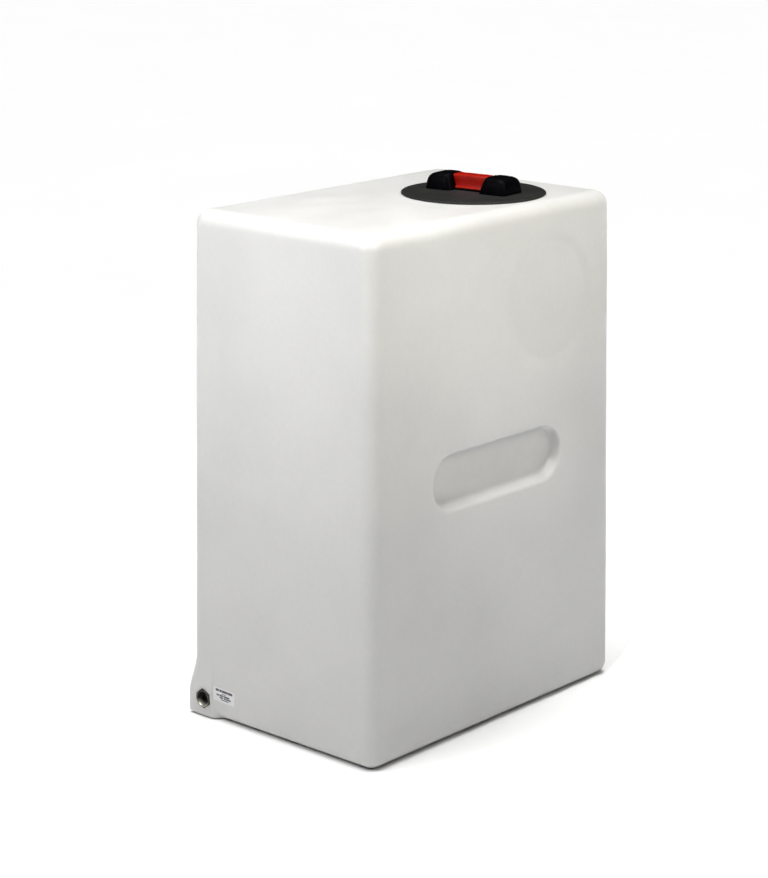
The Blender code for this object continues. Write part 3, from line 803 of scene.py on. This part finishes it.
def fill_recess(points, faces, loop, side, centre, straight, radius, profile, lean):
    """Closes a hole in a long wall with a recess whose rings follow its own outline."""
    centre_x, level = centre
    sign = -1 if side == "front" else 1
    outward = Vector((0, sign * cos(DRAFT), sin(DRAFT)))
    spokes = []
    for index, nominal in loop:
        x, _, z = points[index]
        root = centre_x + min(max(nominal - centre_x, -straight), straight)
        spoke = Vector((x - root, z - level))
        spokes.append((root, spoke.normalized(), spoke.length))
    foot, deepest = profile[-1]

    def ring_at(reach_of, depth):
        first = len(points)
        for root, direction, reach in spokes:
            distance = reach_of(direction, reach)
            x, z = root + direction.x * distance, level + direction.y * distance
            wall = Vector((x, sign * (BASE_Y - SLOPE * z), z))
            points.append(tuple(wall - outward * depth))
        return [first + k for k in range(len(spokes))]

    rings = [[index for index, _ in loop]]
    for share in (0.35, 0.7):
        rings.append(ring_at(lambda d, reach: reach + (radius - reach) * share, 0.0))
    for inset, depth in profile:
        rings.append(ring_at(lambda d, _: radius - inset * (1 - lean * d.y), depth))
    for share in (0.8, 0.55, 0.3, 0.12):
        rings.append(ring_at(lambda d, _: (radius - foot * (1 - lean * d.y)) * share, deepest))
    for outer, inner in zip(rings, rings[1:]):
        faces.extend(joined(outer, inner))
    roots = {}
    for root, _, _ in spokes:
        key = round(root, 6)
        if key not in roots:
            wall = Vector((root, sign * (BASE_Y - SLOPE * level), level))
            roots[key] = len(points)
            points.append(tuple(wall - outward * deepest))
    middle = [roots[round(root, 6)] for root, _, _ in spokes]
    faces.extend(list(dict.fromkeys(face)) for face in joined(rings[-1], middle))


def waved(mesh, outer):
    """Moves the outer surface a little in and out, as a moulding cools unevenly."""
    mouth = Vector((LID_X, LID_Y, TOP))
    outlet = Vector((OUTLET_LOW.x, OUTLET_Y, OUTLET_Z))
    moved = {}
    for index in outer:
        vertex = mesh.vertices[index]
        place = vertex.co
        share = smooth(place.z / 0.016) * smooth(((place - mouth).length - 0.098) / 0.03)
        share *= smooth(((place - outlet).length - 0.022) / 0.02)
        swell = noise.noise(place * 9.0) * 0.00045 + noise.noise(place * 27.0) * 0.00010
        moved[index] = place + vertex.normal * swell * share
    for index, place in moved.items():
        mesh.vertices[index].co = place


def moulded_shell():
    points, faces = lofted(shell_rings())
    count = len(COLUMNS)
    outer_rings = len(BASE_SHARES) + len(outer_levels()) + len(TOP_SHARES)
    pocket_edge = recess_profile(POCKET_DEPTH, 0.0065, 0.0085, 62)
    scale = 0.0105 / pocket_edge[-1][0]
    pocket_edge = [(inset * scale, depth) for inset, depth in pocket_edge]
    dish_edge = recess_profile(DISH_DEPTH, 0.030, 0.030, 12.8)
    pocket = (
        (-POCKET_X, POCKET_X, POCKET_LOW, POCKET_HIGH), (0.0, POCKET_LEVEL),
        POCKET_STRAIGHT, POCKET_RADIUS, pocket_edge, POCKET_LEAN,
    )
    dish = (DISH_PATCH, (DISH_X, DISH_LEVEL), 0.0, DISH_RADIUS, dish_edge, 0.0)
    patches = (("front", *pocket), ("rear", *pocket), ("front", *dish))
    frames = [patch_frame(side, *area) for side, area, *_ in patches]

    def in_patch(face):
        if len(face) != 4:
            return False
        column, row = face[0] % count, face[0] // count
        if face[1] % count != column + 1:
            return False
        return any(c0 <= column < c1 and r0 <= row < r1 for (c0, c1, r0, r1), _ in frames)

    faces = [face for face in faces if not in_patch(face)]
    grid_points = len(points)
    for (side, _, *recess), (_, loop) in zip(patches, frames):
        fill_recess(points, faces, loop, side, *recess)
    shell = mesh_object("moulded_shell", points, faces, 60.0)
    outer = [*range(outer_rings * count), *range(grid_points, len(points))]
    waved(shell.data, outer)
    loose_points_removed(shell.data)
    flat = ACROSS_FLATS / 2 + GAP / 3
    seat = lofted([hexagon(flat, -0.02), hexagon(flat, 0.04)])
    cut(shell, seat, at_outlet(), sharp=60.0)
    return finished(shell, "tank", "shell", "tank_body")


def loose_points_removed(mesh):
    bm = bmesh.new()
    bm.from_mesh(mesh)
    loose = [v for v in bm.verts if not v.link_faces]
    bmesh.ops.delete(bm, geom=loose, context="VERTS")
    bm.to_mesh(mesh)
    bm.free()


# ---- outlet ----
OUTLET_SIDES = 96


def at_outlet():
    """Frame on the outlet's mouth: local Z runs into the tank, along +X."""
    turn = Matrix.Rotation(radians(90), 4, "Y")
    twist = Matrix.Rotation(OUTLET_TWIST, 4, "Z")
    return Matrix.Translation((OUTLET_LOW.x, OUTLET_Y, OUTLET_Z)) @ turn @ twist


def hexagon(flat, height, chamfer=0.0):
    """A hexagon with this half width; chamfer takes its corners down a cone."""
    ring = []
    for k in range(OUTLET_SIDES):
        angle = 2 * pi * k / OUTLET_SIDES
        within_side = (angle + pi / 6) % (pi / 3) - pi / 6
        reach = flat / cos(within_side)
        drop = chamfer * (reach - flat + 0.0006) if chamfer else 0.0
        ring.append((*polar(reach, angle), height + drop))
    return ring


def bore_ring(height):
    """One ring of a right-hand internal thread."""
    ring = []
    for k in range(OUTLET_SIDES):
        turn = k / OUTLET_SIDES
        phase = (height / THREAD_PITCH + turn) % 1.0
        root = 1.0 - abs(2.0 * phase - 1.0)
        root = smooth((root - 0.15) / 0.7) * smooth(height / 0.0016)
        ring.append((*polar(OUTLET_BORE + THREAD_DEPTH * root, 2 * pi * turn), height))
    return ring


def painted_light_at(place):
    """Shares of painted highlight and painted shade: a painted highlight on the mouth's lower side,
    and painted shade over the rest of the bore.
    """
    up, along = place.z - OUTLET_Z, place.x - OUTLET_LOW.x
    radius = hypot(up, place.y - OUTLET_Y)
    lower = smooth((-up / radius - 0.10) / 0.6)
    # Painted highlight on the mouth's lower side.
    painted_highlight = smooth((OUTLET_BORE + 0.0020 - radius) / 0.0004) * lower
    painted_highlight *= smooth((0.010 - along) / 0.006)
    # Painted shade inside the bore, away from its lower side.
    painted_shade = smooth((OUTLET_BORE + 0.0016 - radius) / 0.0004)
    painted_shade *= smooth((along - 0.0004) / 0.0012) * (1.0 - lower)
    return painted_highlight, painted_shade


def threaded_outlet():
    flat, end = ACROSS_FLATS / 2, OUTLET_LENGTH
    sides = OUTLET_SIDES
    rings = [
        circle(flat - 0.0006, 0.0, sides), circle(flat - 0.0002, 0.00005, sides),
        hexagon(flat, 0.0, 0.55), hexagon(flat, 0.0003, 0.55), hexagon(flat, 0.0022),
        hexagon(flat, end * 0.7), hexagon(flat, end - 0.0005), hexagon(flat - 0.0005, end),
        circle(OUTLET_BORE + 0.0016, end, sides), circle(OUTLET_BORE + 0.0006, end - 0.0006, sides),
    ]
    for height in reversed(spread(0.0020, end - 0.0010, THREAD_PITCH / 9)):
        rings.append(bore_ring(height))
    mouth = ((0.0004, 0.0018), (0.0012, 0.0004), (0.0015, 0.0001), (0.0018, 0.0))
    rings += [circle(OUTLET_BORE + wider, height, sides) for wider, height in mouth]
    insert = piece("threaded_outlet", lofted(rings, is_loop=True), at_outlet(), 35.0)
    # Per point shares of painted highlight and painted shade, for the outlet's material.
    amounts = [painted_light_at(vertex.co) for vertex in insert.data.vertices]
    for name, values in zip(("painted_highlight", "painted_shade"), zip(*amounts)):
        painted(insert, name, values)
    return finished(insert, "tank", "outlet_metal", "outlet_insert")


# ---- label ----
LABEL_LENGTH = 0.0395
LABEL_HEIGHT = 0.0190
LABEL_TILT = tan(radians(2))
LABEL_LIFT = 0.00015
LABEL_THICKNESS = 0.00012
# (left, right, low, high) of each printed bar, as shares of the label
INK_BARS = (
    (0.11, 0.27, 0.73, 0.90), (0.285, 0.40, 0.73, 0.90), (0.415, 0.66, 0.73, 0.90),
    (0.675, 0.91, 0.73, 0.90),
    (0.40, 0.62, 0.58, 0.64),
    (0.15, 0.27, 0.41, 0.52), (0.29, 0.47, 0.41, 0.52), (0.50, 0.77, 0.41, 0.52),
    (0.30, 0.46, 0.26, 0.36), (0.49, 0.84, 0.26, 0.36),
    (0.36, 0.72, 0.13, 0.20),
)


def printed_label(shell):
    """Film laid on the end wall, following it and the foot of the boss."""
    tree = BVHTree.FromObject(shell, bpy.context.evaluated_depsgraph_get())
    centre_y = (LABEL_LOW.y + LABEL_HIGH.y) / 2
    centre_z = (LABEL_LOW.z + LABEL_HIGH.z) / 2
    across, up = 96, 56
    points, inks = [], []
    for lift in (LABEL_LIFT, LABEL_LIFT + LABEL_THICKNESS):
        for row in range(up + 1):
            for column in range(across + 1):
                u, v = column / across, row / up
                y = centre_y + (0.5 - u) * LABEL_LENGTH
                z = centre_z + (v - 0.5) * LABEL_HEIGHT + LABEL_TILT * (y - centre_y)
                hit, normal, _, _ = tree.ray_cast(Vector((-0.5, y, z)), Vector((1, 0, 0)))
                points.append(hit + normal * lift)
                is_ink = any(a <= u <= b and low <= v <= high for a, b, low, high in INK_BARS)
                inks.append(1.0 if is_ink else 0.0)
    width = across + 1
    layer = width * (up + 1)
    faces = []
    for row in range(up):
        for column in range(across):
            a = row * width + column
            quad = [a, a + 1, a + 1 + width, a + width]
            faces.append(quad)
            faces.append([layer + i for i in reversed(quad)])
    rim = [row * width + column for column, row in loop_round(0, across, 0, up)]
    faces += joined(rim, [layer + i for i in rim])
    label = mesh_object("printed_label", points, faces, 30.0)
    painted(label, "ink", inks)
    return finished(label, "tank", "label", "data_label")


# ---- screws ----
SLOT_DEPTH = 0.0014
SLOT_REACH = 0.0019


def cross_slot():
    """Two tapered blades that cut a cross recess, pointing down from the origin."""
    for turn in (0.0, pi / 2):
        blade = lofted([
            rounded_rectangle(-reach, reach, -half, half, 0.0002, height, 2)
            for reach, half, height in (
                (SLOT_REACH, 0.00042, 0.0004), (SLOT_REACH * 0.9, 0.00036, -SLOT_DEPTH * 0.5),
                (SLOT_REACH * 0.25, 0.00025, -SLOT_DEPTH),
            )
        ])
        yield placed(blade, Matrix.Rotation(turn, 4, "Z"))


NECK_SCREWS = [polar(NECK_SCREW_CIRCLE, 2 * pi * (k + 0.5) / 6) for k in range(6)]


def threaded_shank(top, length):
    """(radius, height) steps of a self-tapping thread, from its neck to its point."""
    turns = 7
    pitch = (length - top - 0.0016) / turns
    steps = [(SCREW_SHANK * 0.82, -top)]
    for k in range(turns):
        height = -top - pitch * k
        for share, along in ((0.82, 0.35), (1.0, 0.60), (0.82, 0.85)):
            steps.append((SCREW_SHANK * share, height - pitch * along))
    steps.append((SCREW_SHANK * 0.25, -length))
    return steps


def screw(kind, number, body, head, shank_top, length, matrix, slot_top):
    shape = turned(head + threaded_shank(shank_top, length), 28)
    obj = mesh_object(f"{kind}_steel_{number}", *shape, 35.0)
    for blade in cross_slot():
        cut(obj, blade, Matrix.Translation((0, 0, slot_top)), sharp=35.0)
    obj.data.transform(matrix)
    finished(obj, body, "steel", f"{kind}_{number}")


def neck_screws(ring_top):
    countersunk = [
        (SCREW_HEAD - 0.0005, 0.0), (SCREW_HEAD - 0.0001, -0.0001), (SCREW_HEAD, -0.0004),
        (SCREW_SHANK + 0.0001, -0.0021),
    ]
    for k, (x, y) in enumerate(NECK_SCREWS):
        spin = Matrix.Rotation(0.7 * k, 4, "Z")
        screw(
            "neck_screw", k + 1, "tank", countersunk, 0.0023, 0.0115,
            above_seat(x, y, ring_top - 0.0002) @ spin, 0.0,
        )


def grip_screws():
    pan = [
        (SCREW_HEAD * 0.35, 0.0022), (SCREW_HEAD * 0.70, 0.0020), (SCREW_HEAD * 0.92, 0.0014),
        (SCREW_HEAD, 0.0007), (SCREW_HEAD, 0.0001), (SCREW_HEAD - 0.0002, 0.0),
        (SCREW_SHANK * 0.9, 0.0),
    ]
    places = [(x, y) for x in (-GRIP_SCREW_X, GRIP_SCREW_X) for y in (-GRIP_SCREW_Y, GRIP_SCREW_Y)]
    for k, (x, y) in enumerate(places):
        flip = Matrix.Rotation(pi, 4, "X") @ Matrix.Rotation(0.5 + 0.9 * k, 4, "Z")
        screw(
            "grip_screw", k + 1, "lid", pan, 0.0004, 0.0148,
            grip_frame() @ Matrix.Translation((x, y, DISC_UNDER - GAP)) @ flip, 0.0022,
        )


# ---- neck ring and gasket ----
def neck():
    gasket_low = -MOUTH_RECESS_DEPTH + GAP
    gasket_top = gasket_low + 0.0012
    gasket = softened([
        (0.0774, gasket_low), (NECK_FLANGE, gasket_low), (NECK_FLANGE, gasket_top),
        (0.0774, gasket_top),
    ], 0.0004)
    made = piece("mouth_gasket", swept(gasket), above_seat())
    finished(made, "tank", "rubber", "neck_gasket")

    low = gasket_top + GAP
    top = low + 0.0026
    profile = softened([
        (NECK_BORE, -NECK_DEPTH), (NECK_BARREL, -NECK_DEPTH), (NECK_BARREL, low - 0.0016),
        (NECK_BARREL + 0.0005, low), (NECK_FLANGE, low), (NECK_FLANGE, top),
        (NECK_BORE + 0.0040, top), (NECK_BORE + 0.0034, top - 0.0005),
        (NECK_BORE + 0.0012, top - 0.0005), (NECK_BORE, top - 0.0016),
    ], 0.0006)
    ring = piece("bayonet_ring", swept(profile, steps=144), above_seat())
    for k in range(3):
        start = 2 * pi * k / 3 - LEDGE_ARC / 2
        cut(ring, ledge(start), above_seat(), "UNION")
    for x, y in NECK_SCREWS:
        seat = turned([
            (SCREW_HEAD + 0.0012, 0.001), (SCREW_HEAD + 0.0004, 0.0),
            (SCREW_HEAD + 0.0002, -0.0006), (SCREW_SHANK + 0.0003, -0.0025),
            (SCREW_SHANK + 0.0003, -0.012),
        ], 32)
        cut(ring, seat, above_seat(x, y, top))
    finished(ring, "tank", "lid_plastic", "neck_ring")
    neck_screws(top)


def ledge(start):
    """A bayonet ledge with a lead-in ramp at one end and a stop at the other."""
    steps = 20
    rings = []
    for k in range(steps + 1):
        share = k / steps
        angle = start + LEDGE_ARC * share
        low = LEDGE_LOW + 0.0012 * smooth((0.25 - share) / 0.25)
        if share > 0.94:
            low -= 0.0016
        section = softened([
            (LEDGE_RADIUS, low), (NECK_BORE + 0.0015, low),
            (NECK_BORE + 0.0015, LEDGE_LOW + LEDGE_THICKNESS),
            (LEDGE_RADIUS, LEDGE_LOW + LEDGE_THICKNESS - 0.0012),
        ], 0.0004, 2)
        rings.append([(*polar(r, angle), z) for r, z in section])
    return lofted(rings)


# ---- lid ----
def lid_disc():
    """Domed disc with a rolled rim, and under it a ribbed plug with three lugs."""
    reach, crown, foot = LID_RADIUS, DISC_CROWN, -PLUG_DEPTH
    top = [
        (VENT_BORE, crown), (0.0300, crown), (0.0500, crown - 0.00005),
        (0.0640, crown - 0.00020), (0.0740, crown - 0.00045), (0.0840, crown - 0.00085),
        (0.0920, crown - 0.00125), (reach - 0.0028, DISC_RIM),
        (reach - 0.0012, DISC_RIM - 0.00025), (reach - 0.0003, DISC_RIM - 0.0009),
        (reach, DISC_RIM - 0.0016), (reach, DISC_UNDER + 0.0006), (reach - 0.0006, DISC_UNDER),
    ]
    under = softened([
        (reach - 0.0006, DISC_UNDER), (PLUG_RADIUS, DISC_UNDER), (PLUG_RADIUS, foot),
        (PLUG_INNER, foot), (PLUG_INNER, DISC_UNDER), (VENT_BORE, DISC_UNDER),
    ], 0.0008, is_closed=False)
    disc = piece("lid_plate", swept(top + under[1:], steps=192), above_seat())
    for k in range(3):
        start = 2 * pi * k / 3 - LUG_ARC / 2
        inner = PLUG_RADIUS - 0.0015
        section = softened([
            (inner, foot + 0.0002), (LUG_RADIUS - 0.0004, foot + 0.0002),
            (LUG_RADIUS, foot + LUG_THICKNESS), (inner, foot + LUG_THICKNESS),
        ], 0.0004, 2)
        cut(disc, swept(section, start, LUG_ARC, 16), above_seat(), "UNION")
    for k in range(12):
        angle = 2 * pi * (k + 0.5) / 12
        end = PLUG_INNER + 0.0008
        rib = lofted([
            rounded_rectangle(start, end, -half, half, 0.0003, height, 2)
            for start, half, height in (
                (0.0120, 0.0008, DISC_UNDER + 0.0010), (0.0120, 0.0007, -0.0030),
                (0.0460, 0.0006, -0.0120),
            )
        ])
        spin = Matrix.Rotation(angle, 4, "Z")
        cut(disc, rib, above_seat() @ spin, "UNION")
    return finished(disc, "lid", "lid_plastic", "lid_disc")


def lid_seal():
    section = (
        (0.0004, -0.0042), (0.0030, -0.0042), (0.0039, -0.0030), (0.0039, -0.0012),
        (0.0030, 0.0002), (0.0004, 0.0002),
    )
    seal = softened([(PLUG_RADIUS + out, height) for out, height in section], 0.0007)
    made = piece("plug_seal", swept(seal), above_seat())
    return finished(made, "lid_seal", "rubber", "lid_seal")


def pad_inner(height):
    """Half the gap between the two pads at this height above the tank."""
    share = (height - GRIP_FOOT) / (GRIP_TOP - GRIP_FOOT)
    return PAD_INNER_LOW + (PAD_INNER_HIGH - PAD_INNER_LOW) * share


# share of the pad's height, and how far its outer sides have pulled in
PAD_SIDES = (
    (0.00, 0.0000), (0.25, 0.0005), (0.45, 0.0012), (0.60, 0.0020), (0.72, 0.0030),
    (0.82, 0.0044), (0.90, 0.0064), (0.955, 0.0088), (0.988, 0.0114), (1.00, 0.0140),
)


def grip_pad(side):
    """One pad: upright at the foot and rounded over at the top."""
    rise = GRIP_TOP - GRIP_FOOT
    rings = []
    for share, pulled in PAD_SIDES:
        height = GRIP_FOOT + rise * share
        inner = pad_inner(height) + max(pulled - 0.0115, 0.0) * 0.8
        outer = GRIP_HALF_LENGTH - pulled
        low, high = sorted((side * inner, side * outer))
        half = GRIP_HALF_WIDTH - 0.85 * pulled
        rings.append(rounded_rectangle(-half, half, low, high, 0.0078, height, 8))
    return lofted(rings)


def grip():
    """A pull bar across the lid: two pads joined by a low bridge under the vent cap."""
    reach = PAD_INNER_LOW + 0.010
    bar = piece("pull_grip", lofted([
        rounded_rectangle(-half, half, -reach, reach, 0.003, height)
        for half, height in (
            (BRIDGE_HALF_WIDTH, GRIP_FOOT + 0.0002), (BRIDGE_HALF_WIDTH, BRIDGE_TOP - 0.0006),
            (BRIDGE_HALF_WIDTH - 0.0006, BRIDGE_TOP),
        )
    ]), grip_frame())
    for side in (-1, 1):
        cut(bar, grip_pad(side), grip_frame(), "UNION", 50.0)
    hole = turned([(VENT_BORE, 0.0), (VENT_BORE, BRIDGE_TOP + 0.002)], 64)
    cut(bar, hole, above_seat(), sharp=50.0)
    edge = bar.modifiers.new("edge", "BEVEL")
    edge.width = 0.0007
    edge.segments = 3
    edge.limit_method = "ANGLE"
    edge.angle_limit = radians(42)
    apply_modifiers(bar)
    shaded(bar.data, 60.0)
    return finished(bar, "lid", "grip_plastic", "lid_grip")


# ---- vent ----
def vent_cap():
    """A wedge that widens upwards between the pads, with a lip round its foot."""
    tall = CAP_TOP - CAP_FOOT
    half = CAP_HALF_WIDTH
    lip = half + CAP_LIP
    # (height above the cap's foot, half width along X, how far its ends have pulled in)
    levels = (
        (0.0000, lip - 0.0010, 0.0010), (0.0003, lip - 0.0003, 0.0003), (0.0009, lip, 0.0),
        (0.0016, lip - 0.0001, 0.0), (0.0022, lip - 0.0006, 0.0), (0.0027, lip - 0.0015, 0.0),
        (0.0034, half + 0.0004, 0.0), (0.0044, half, 0.0),
        (tall * 0.55, half - 0.0001, 0.0), (tall - 0.0026, half - 0.0001, 0.0),
        (tall - 0.0015, half - 0.0003, 0.0002), (tall - 0.0008, half - 0.0007, 0.0005),
        (tall - 0.0003, half - 0.0013, 0.0010), (tall, half - 0.0021, 0.0017),
    )
    rings = []
    for rise, half_x, pulled in levels:
        height = CAP_FOOT + rise
        half_y = pad_inner(height) - 0.0005 - pulled
        rings.append(rounded_rectangle(-half_x, half_x, -half_y, half_y, 0.0020, height))
    top = rings[-1]
    for share, sink in ((0.82, 0.0001), (0.5, 0.0004), (0.1, 0.0005)):
        rings.append([(x * share, y * share, z - sink) for x, y, z in top])
    cap = piece("pull_cap", lofted(rings), grip_frame(), 50.0)
    holes = ((STEM_RADIUS + GAP, 0.008), (VENT_SEAL_RADIUS + GAP, VENT_SEAL_THICKNESS + GAP))
    for radius, depth in holes:
        hole = turned([(radius, CAP_FOOT - 0.002), (radius, CAP_FOOT + depth)], 64)
        cut(cap, hole, above_seat(), sharp=50.0)
    return finished(cap, "vent", "vent_plastic", "vent_cap")


def vent_parts():
    retainer_top = DISC_UNDER - 0.008 - GAP
    retainer_low = retainer_top - 0.0015
    head = retainer_low - GAP
    end = CAP_FOOT + 0.008 - GAP
    thin, wide, bore = STEM_RADIUS, STEM_RADIUS + 0.0010, STEM_RADIUS + GAP
    stem = softened([
        (0.0006, head - 0.0014), (thin, head - 0.0014), (wide, head - 0.0009),
        (wide, head - 0.0001), (thin, head), (thin, -0.002), (thin - 0.0004, -0.0015),
        (thin - 0.0004, 0.004), (thin, 0.0045), (thin, end - 0.0008), (thin - 0.0007, end),
        (0.0006, end),
    ], 0.0003, 2, is_closed=False)
    made = piece("breather_stem", turned(stem, 40), above_seat())
    finished(made, "vent", "grip_plastic", "vent_stem")
    washer = softened([
        (bore, retainer_low), (0.0070, retainer_low + 0.0003), (0.0095, retainer_low),
        (0.0095, retainer_top - 0.0004), (0.0070, retainer_top), (bore, retainer_top - 0.0002),
    ], 0.0003, 2)
    made = piece("push_on_retainer", swept(washer, steps=64), above_seat())
    finished(made, "vent", "steel", "vent_retainer")
    seal_top = CAP_FOOT + VENT_SEAL_THICKNESS
    seal = softened([
        (bore, CAP_FOOT), (VENT_SEAL_RADIUS, CAP_FOOT), (VENT_SEAL_RADIUS, seal_top),
        (bore, seal_top),
    ], 0.0004)
    made = piece("breather_seal", swept(seal, steps=80), above_seat())
    finished(made, "vent", "rubber", "vent_seal")


# ---- floor, light and camera ----
FLOOR_HALF = 45.0
CAMERA_PLACE = (-2.394, -2.102, 1.219)
CAMERA_YAW = radians(41.82)
CAMERA_PITCH = radians(15.05)
FOCAL_PIXELS = 2440.0
IMAGE_TALL = 878
SENSOR = 36.0
SKY_STRENGTH = 11.9
SKY_POWER = 20.0


def add_floor():
    finish = Finish("pale_floor", 0.75, Specular_IOR_Level=0.2)
    finish.colour(finish.colours(
        (1.5,), (0.3, (0.955, 0.955, 0.955)), (0.7, (0.965, 0.965, 0.965)),
    ))
    finish.roughness((8.0,), 0.70, 0.80)
    half = FLOOR_HALF
    corners = [(-half, -half, 0), (half, -half, 0), (half, half, 0), (-half, half, 0)]
    floor = mesh_object("studio_floor", corners, [[0, 1, 2, 3]])
    floor.data.materials.append(finish.material)
    floor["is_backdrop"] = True


def add_sky():
    """Soft light that is strongest from straight above."""
    world = bpy.data.worlds.new("studio_light")
    world.use_nodes = True
    bpy.context.scene.world = world
    sky = Nodes(world.node_tree)
    place = sky.node("TexCoord").outputs["Generated"]
    height = sky.node("SeparateXYZ", {"Vector": place}).outputs["Z"]
    raised = sky.node("Math", {0: height, 1: SKY_POWER}, operation="POWER", use_clamp=True)
    ranged = sky.node("MapRange", {"To Max": SKY_STRENGTH, "Value": raised.outputs["Value"]})
    background = sky.tree.nodes["Background"]
    background.inputs["Color"].default_value = (1.0, 1.0, 1.0, 1.0)
    sky.link(ranged.outputs["Result"], background.inputs["Strength"])


def add_softbox(name, place, target, size, energy, spread_angle, colour=(1.0, 1.0, 1.0)):
    light = bpy.data.lights.new(name, "AREA")
    light.spread = radians(spread_angle)
    light.shape = "RECTANGLE"
    light.size, light.size_y = size
    light.energy = energy
    light.color = colour
    obj = bpy.data.objects.new(name, light)
    obj.location = place
    obj.rotation_euler = (Vector(target) - Vector(place)).to_track_quat("-Z", "Y").to_euler()
    obj.visible_camera = False
    bpy.context.scene.collection.objects.link(obj)


def add_camera():
    camera = bpy.data.cameras.new("photo_view")
    camera.sensor_width = SENSOR
    camera.lens = FOCAL_PIXELS * SENSOR / IMAGE_TALL
    camera.clip_end = 200.0
    obj = bpy.data.objects.new("photo_view", camera)
    level = cos(CAMERA_PITCH)
    forward = Vector((
        cos(CAMERA_YAW) * level, sin(CAMERA_YAW) * level, -sin(CAMERA_PITCH),
    ))
    obj.location = CAMERA_PLACE
    obj.rotation_euler = forward.to_track_quat("-Z", "Y").to_euler()
    bpy.context.scene.collection.objects.link(obj)
    bpy.context.scene.camera = obj


def main():
    bpy.context.scene.view_settings.view_transform = "Standard"
    shell = moulded_shell()
    threaded_outlet()
    printed_label(shell)
    neck()
    lid_disc()
    lid_seal()
    grip()
    grip_screws()
    vent_cap()
    vent_parts()
    add_floor()
    add_sky()
    add_softbox("left", (-0.9, 0.12, 1.15), (-0.2, 0.03, 0.58), (0.6, 0.6), 1.60, 70)
    add_softbox(
        "front", (0.0, -0.8, 1.20), (0.0, -0.1, 0.68), (0.9, 0.5), 1.05, 52, (1.0, 0.972, 0.85),
    )
    add_softbox("grazing", (-0.75, -0.45, 1.75), (0.05, -0.16, 0.31), (0.12, 0.12), 0.055, 12)
    add_camera()


main()
visual_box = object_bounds()
[[list(corner) for corner in box] for box in (cad_box, visual_box)]
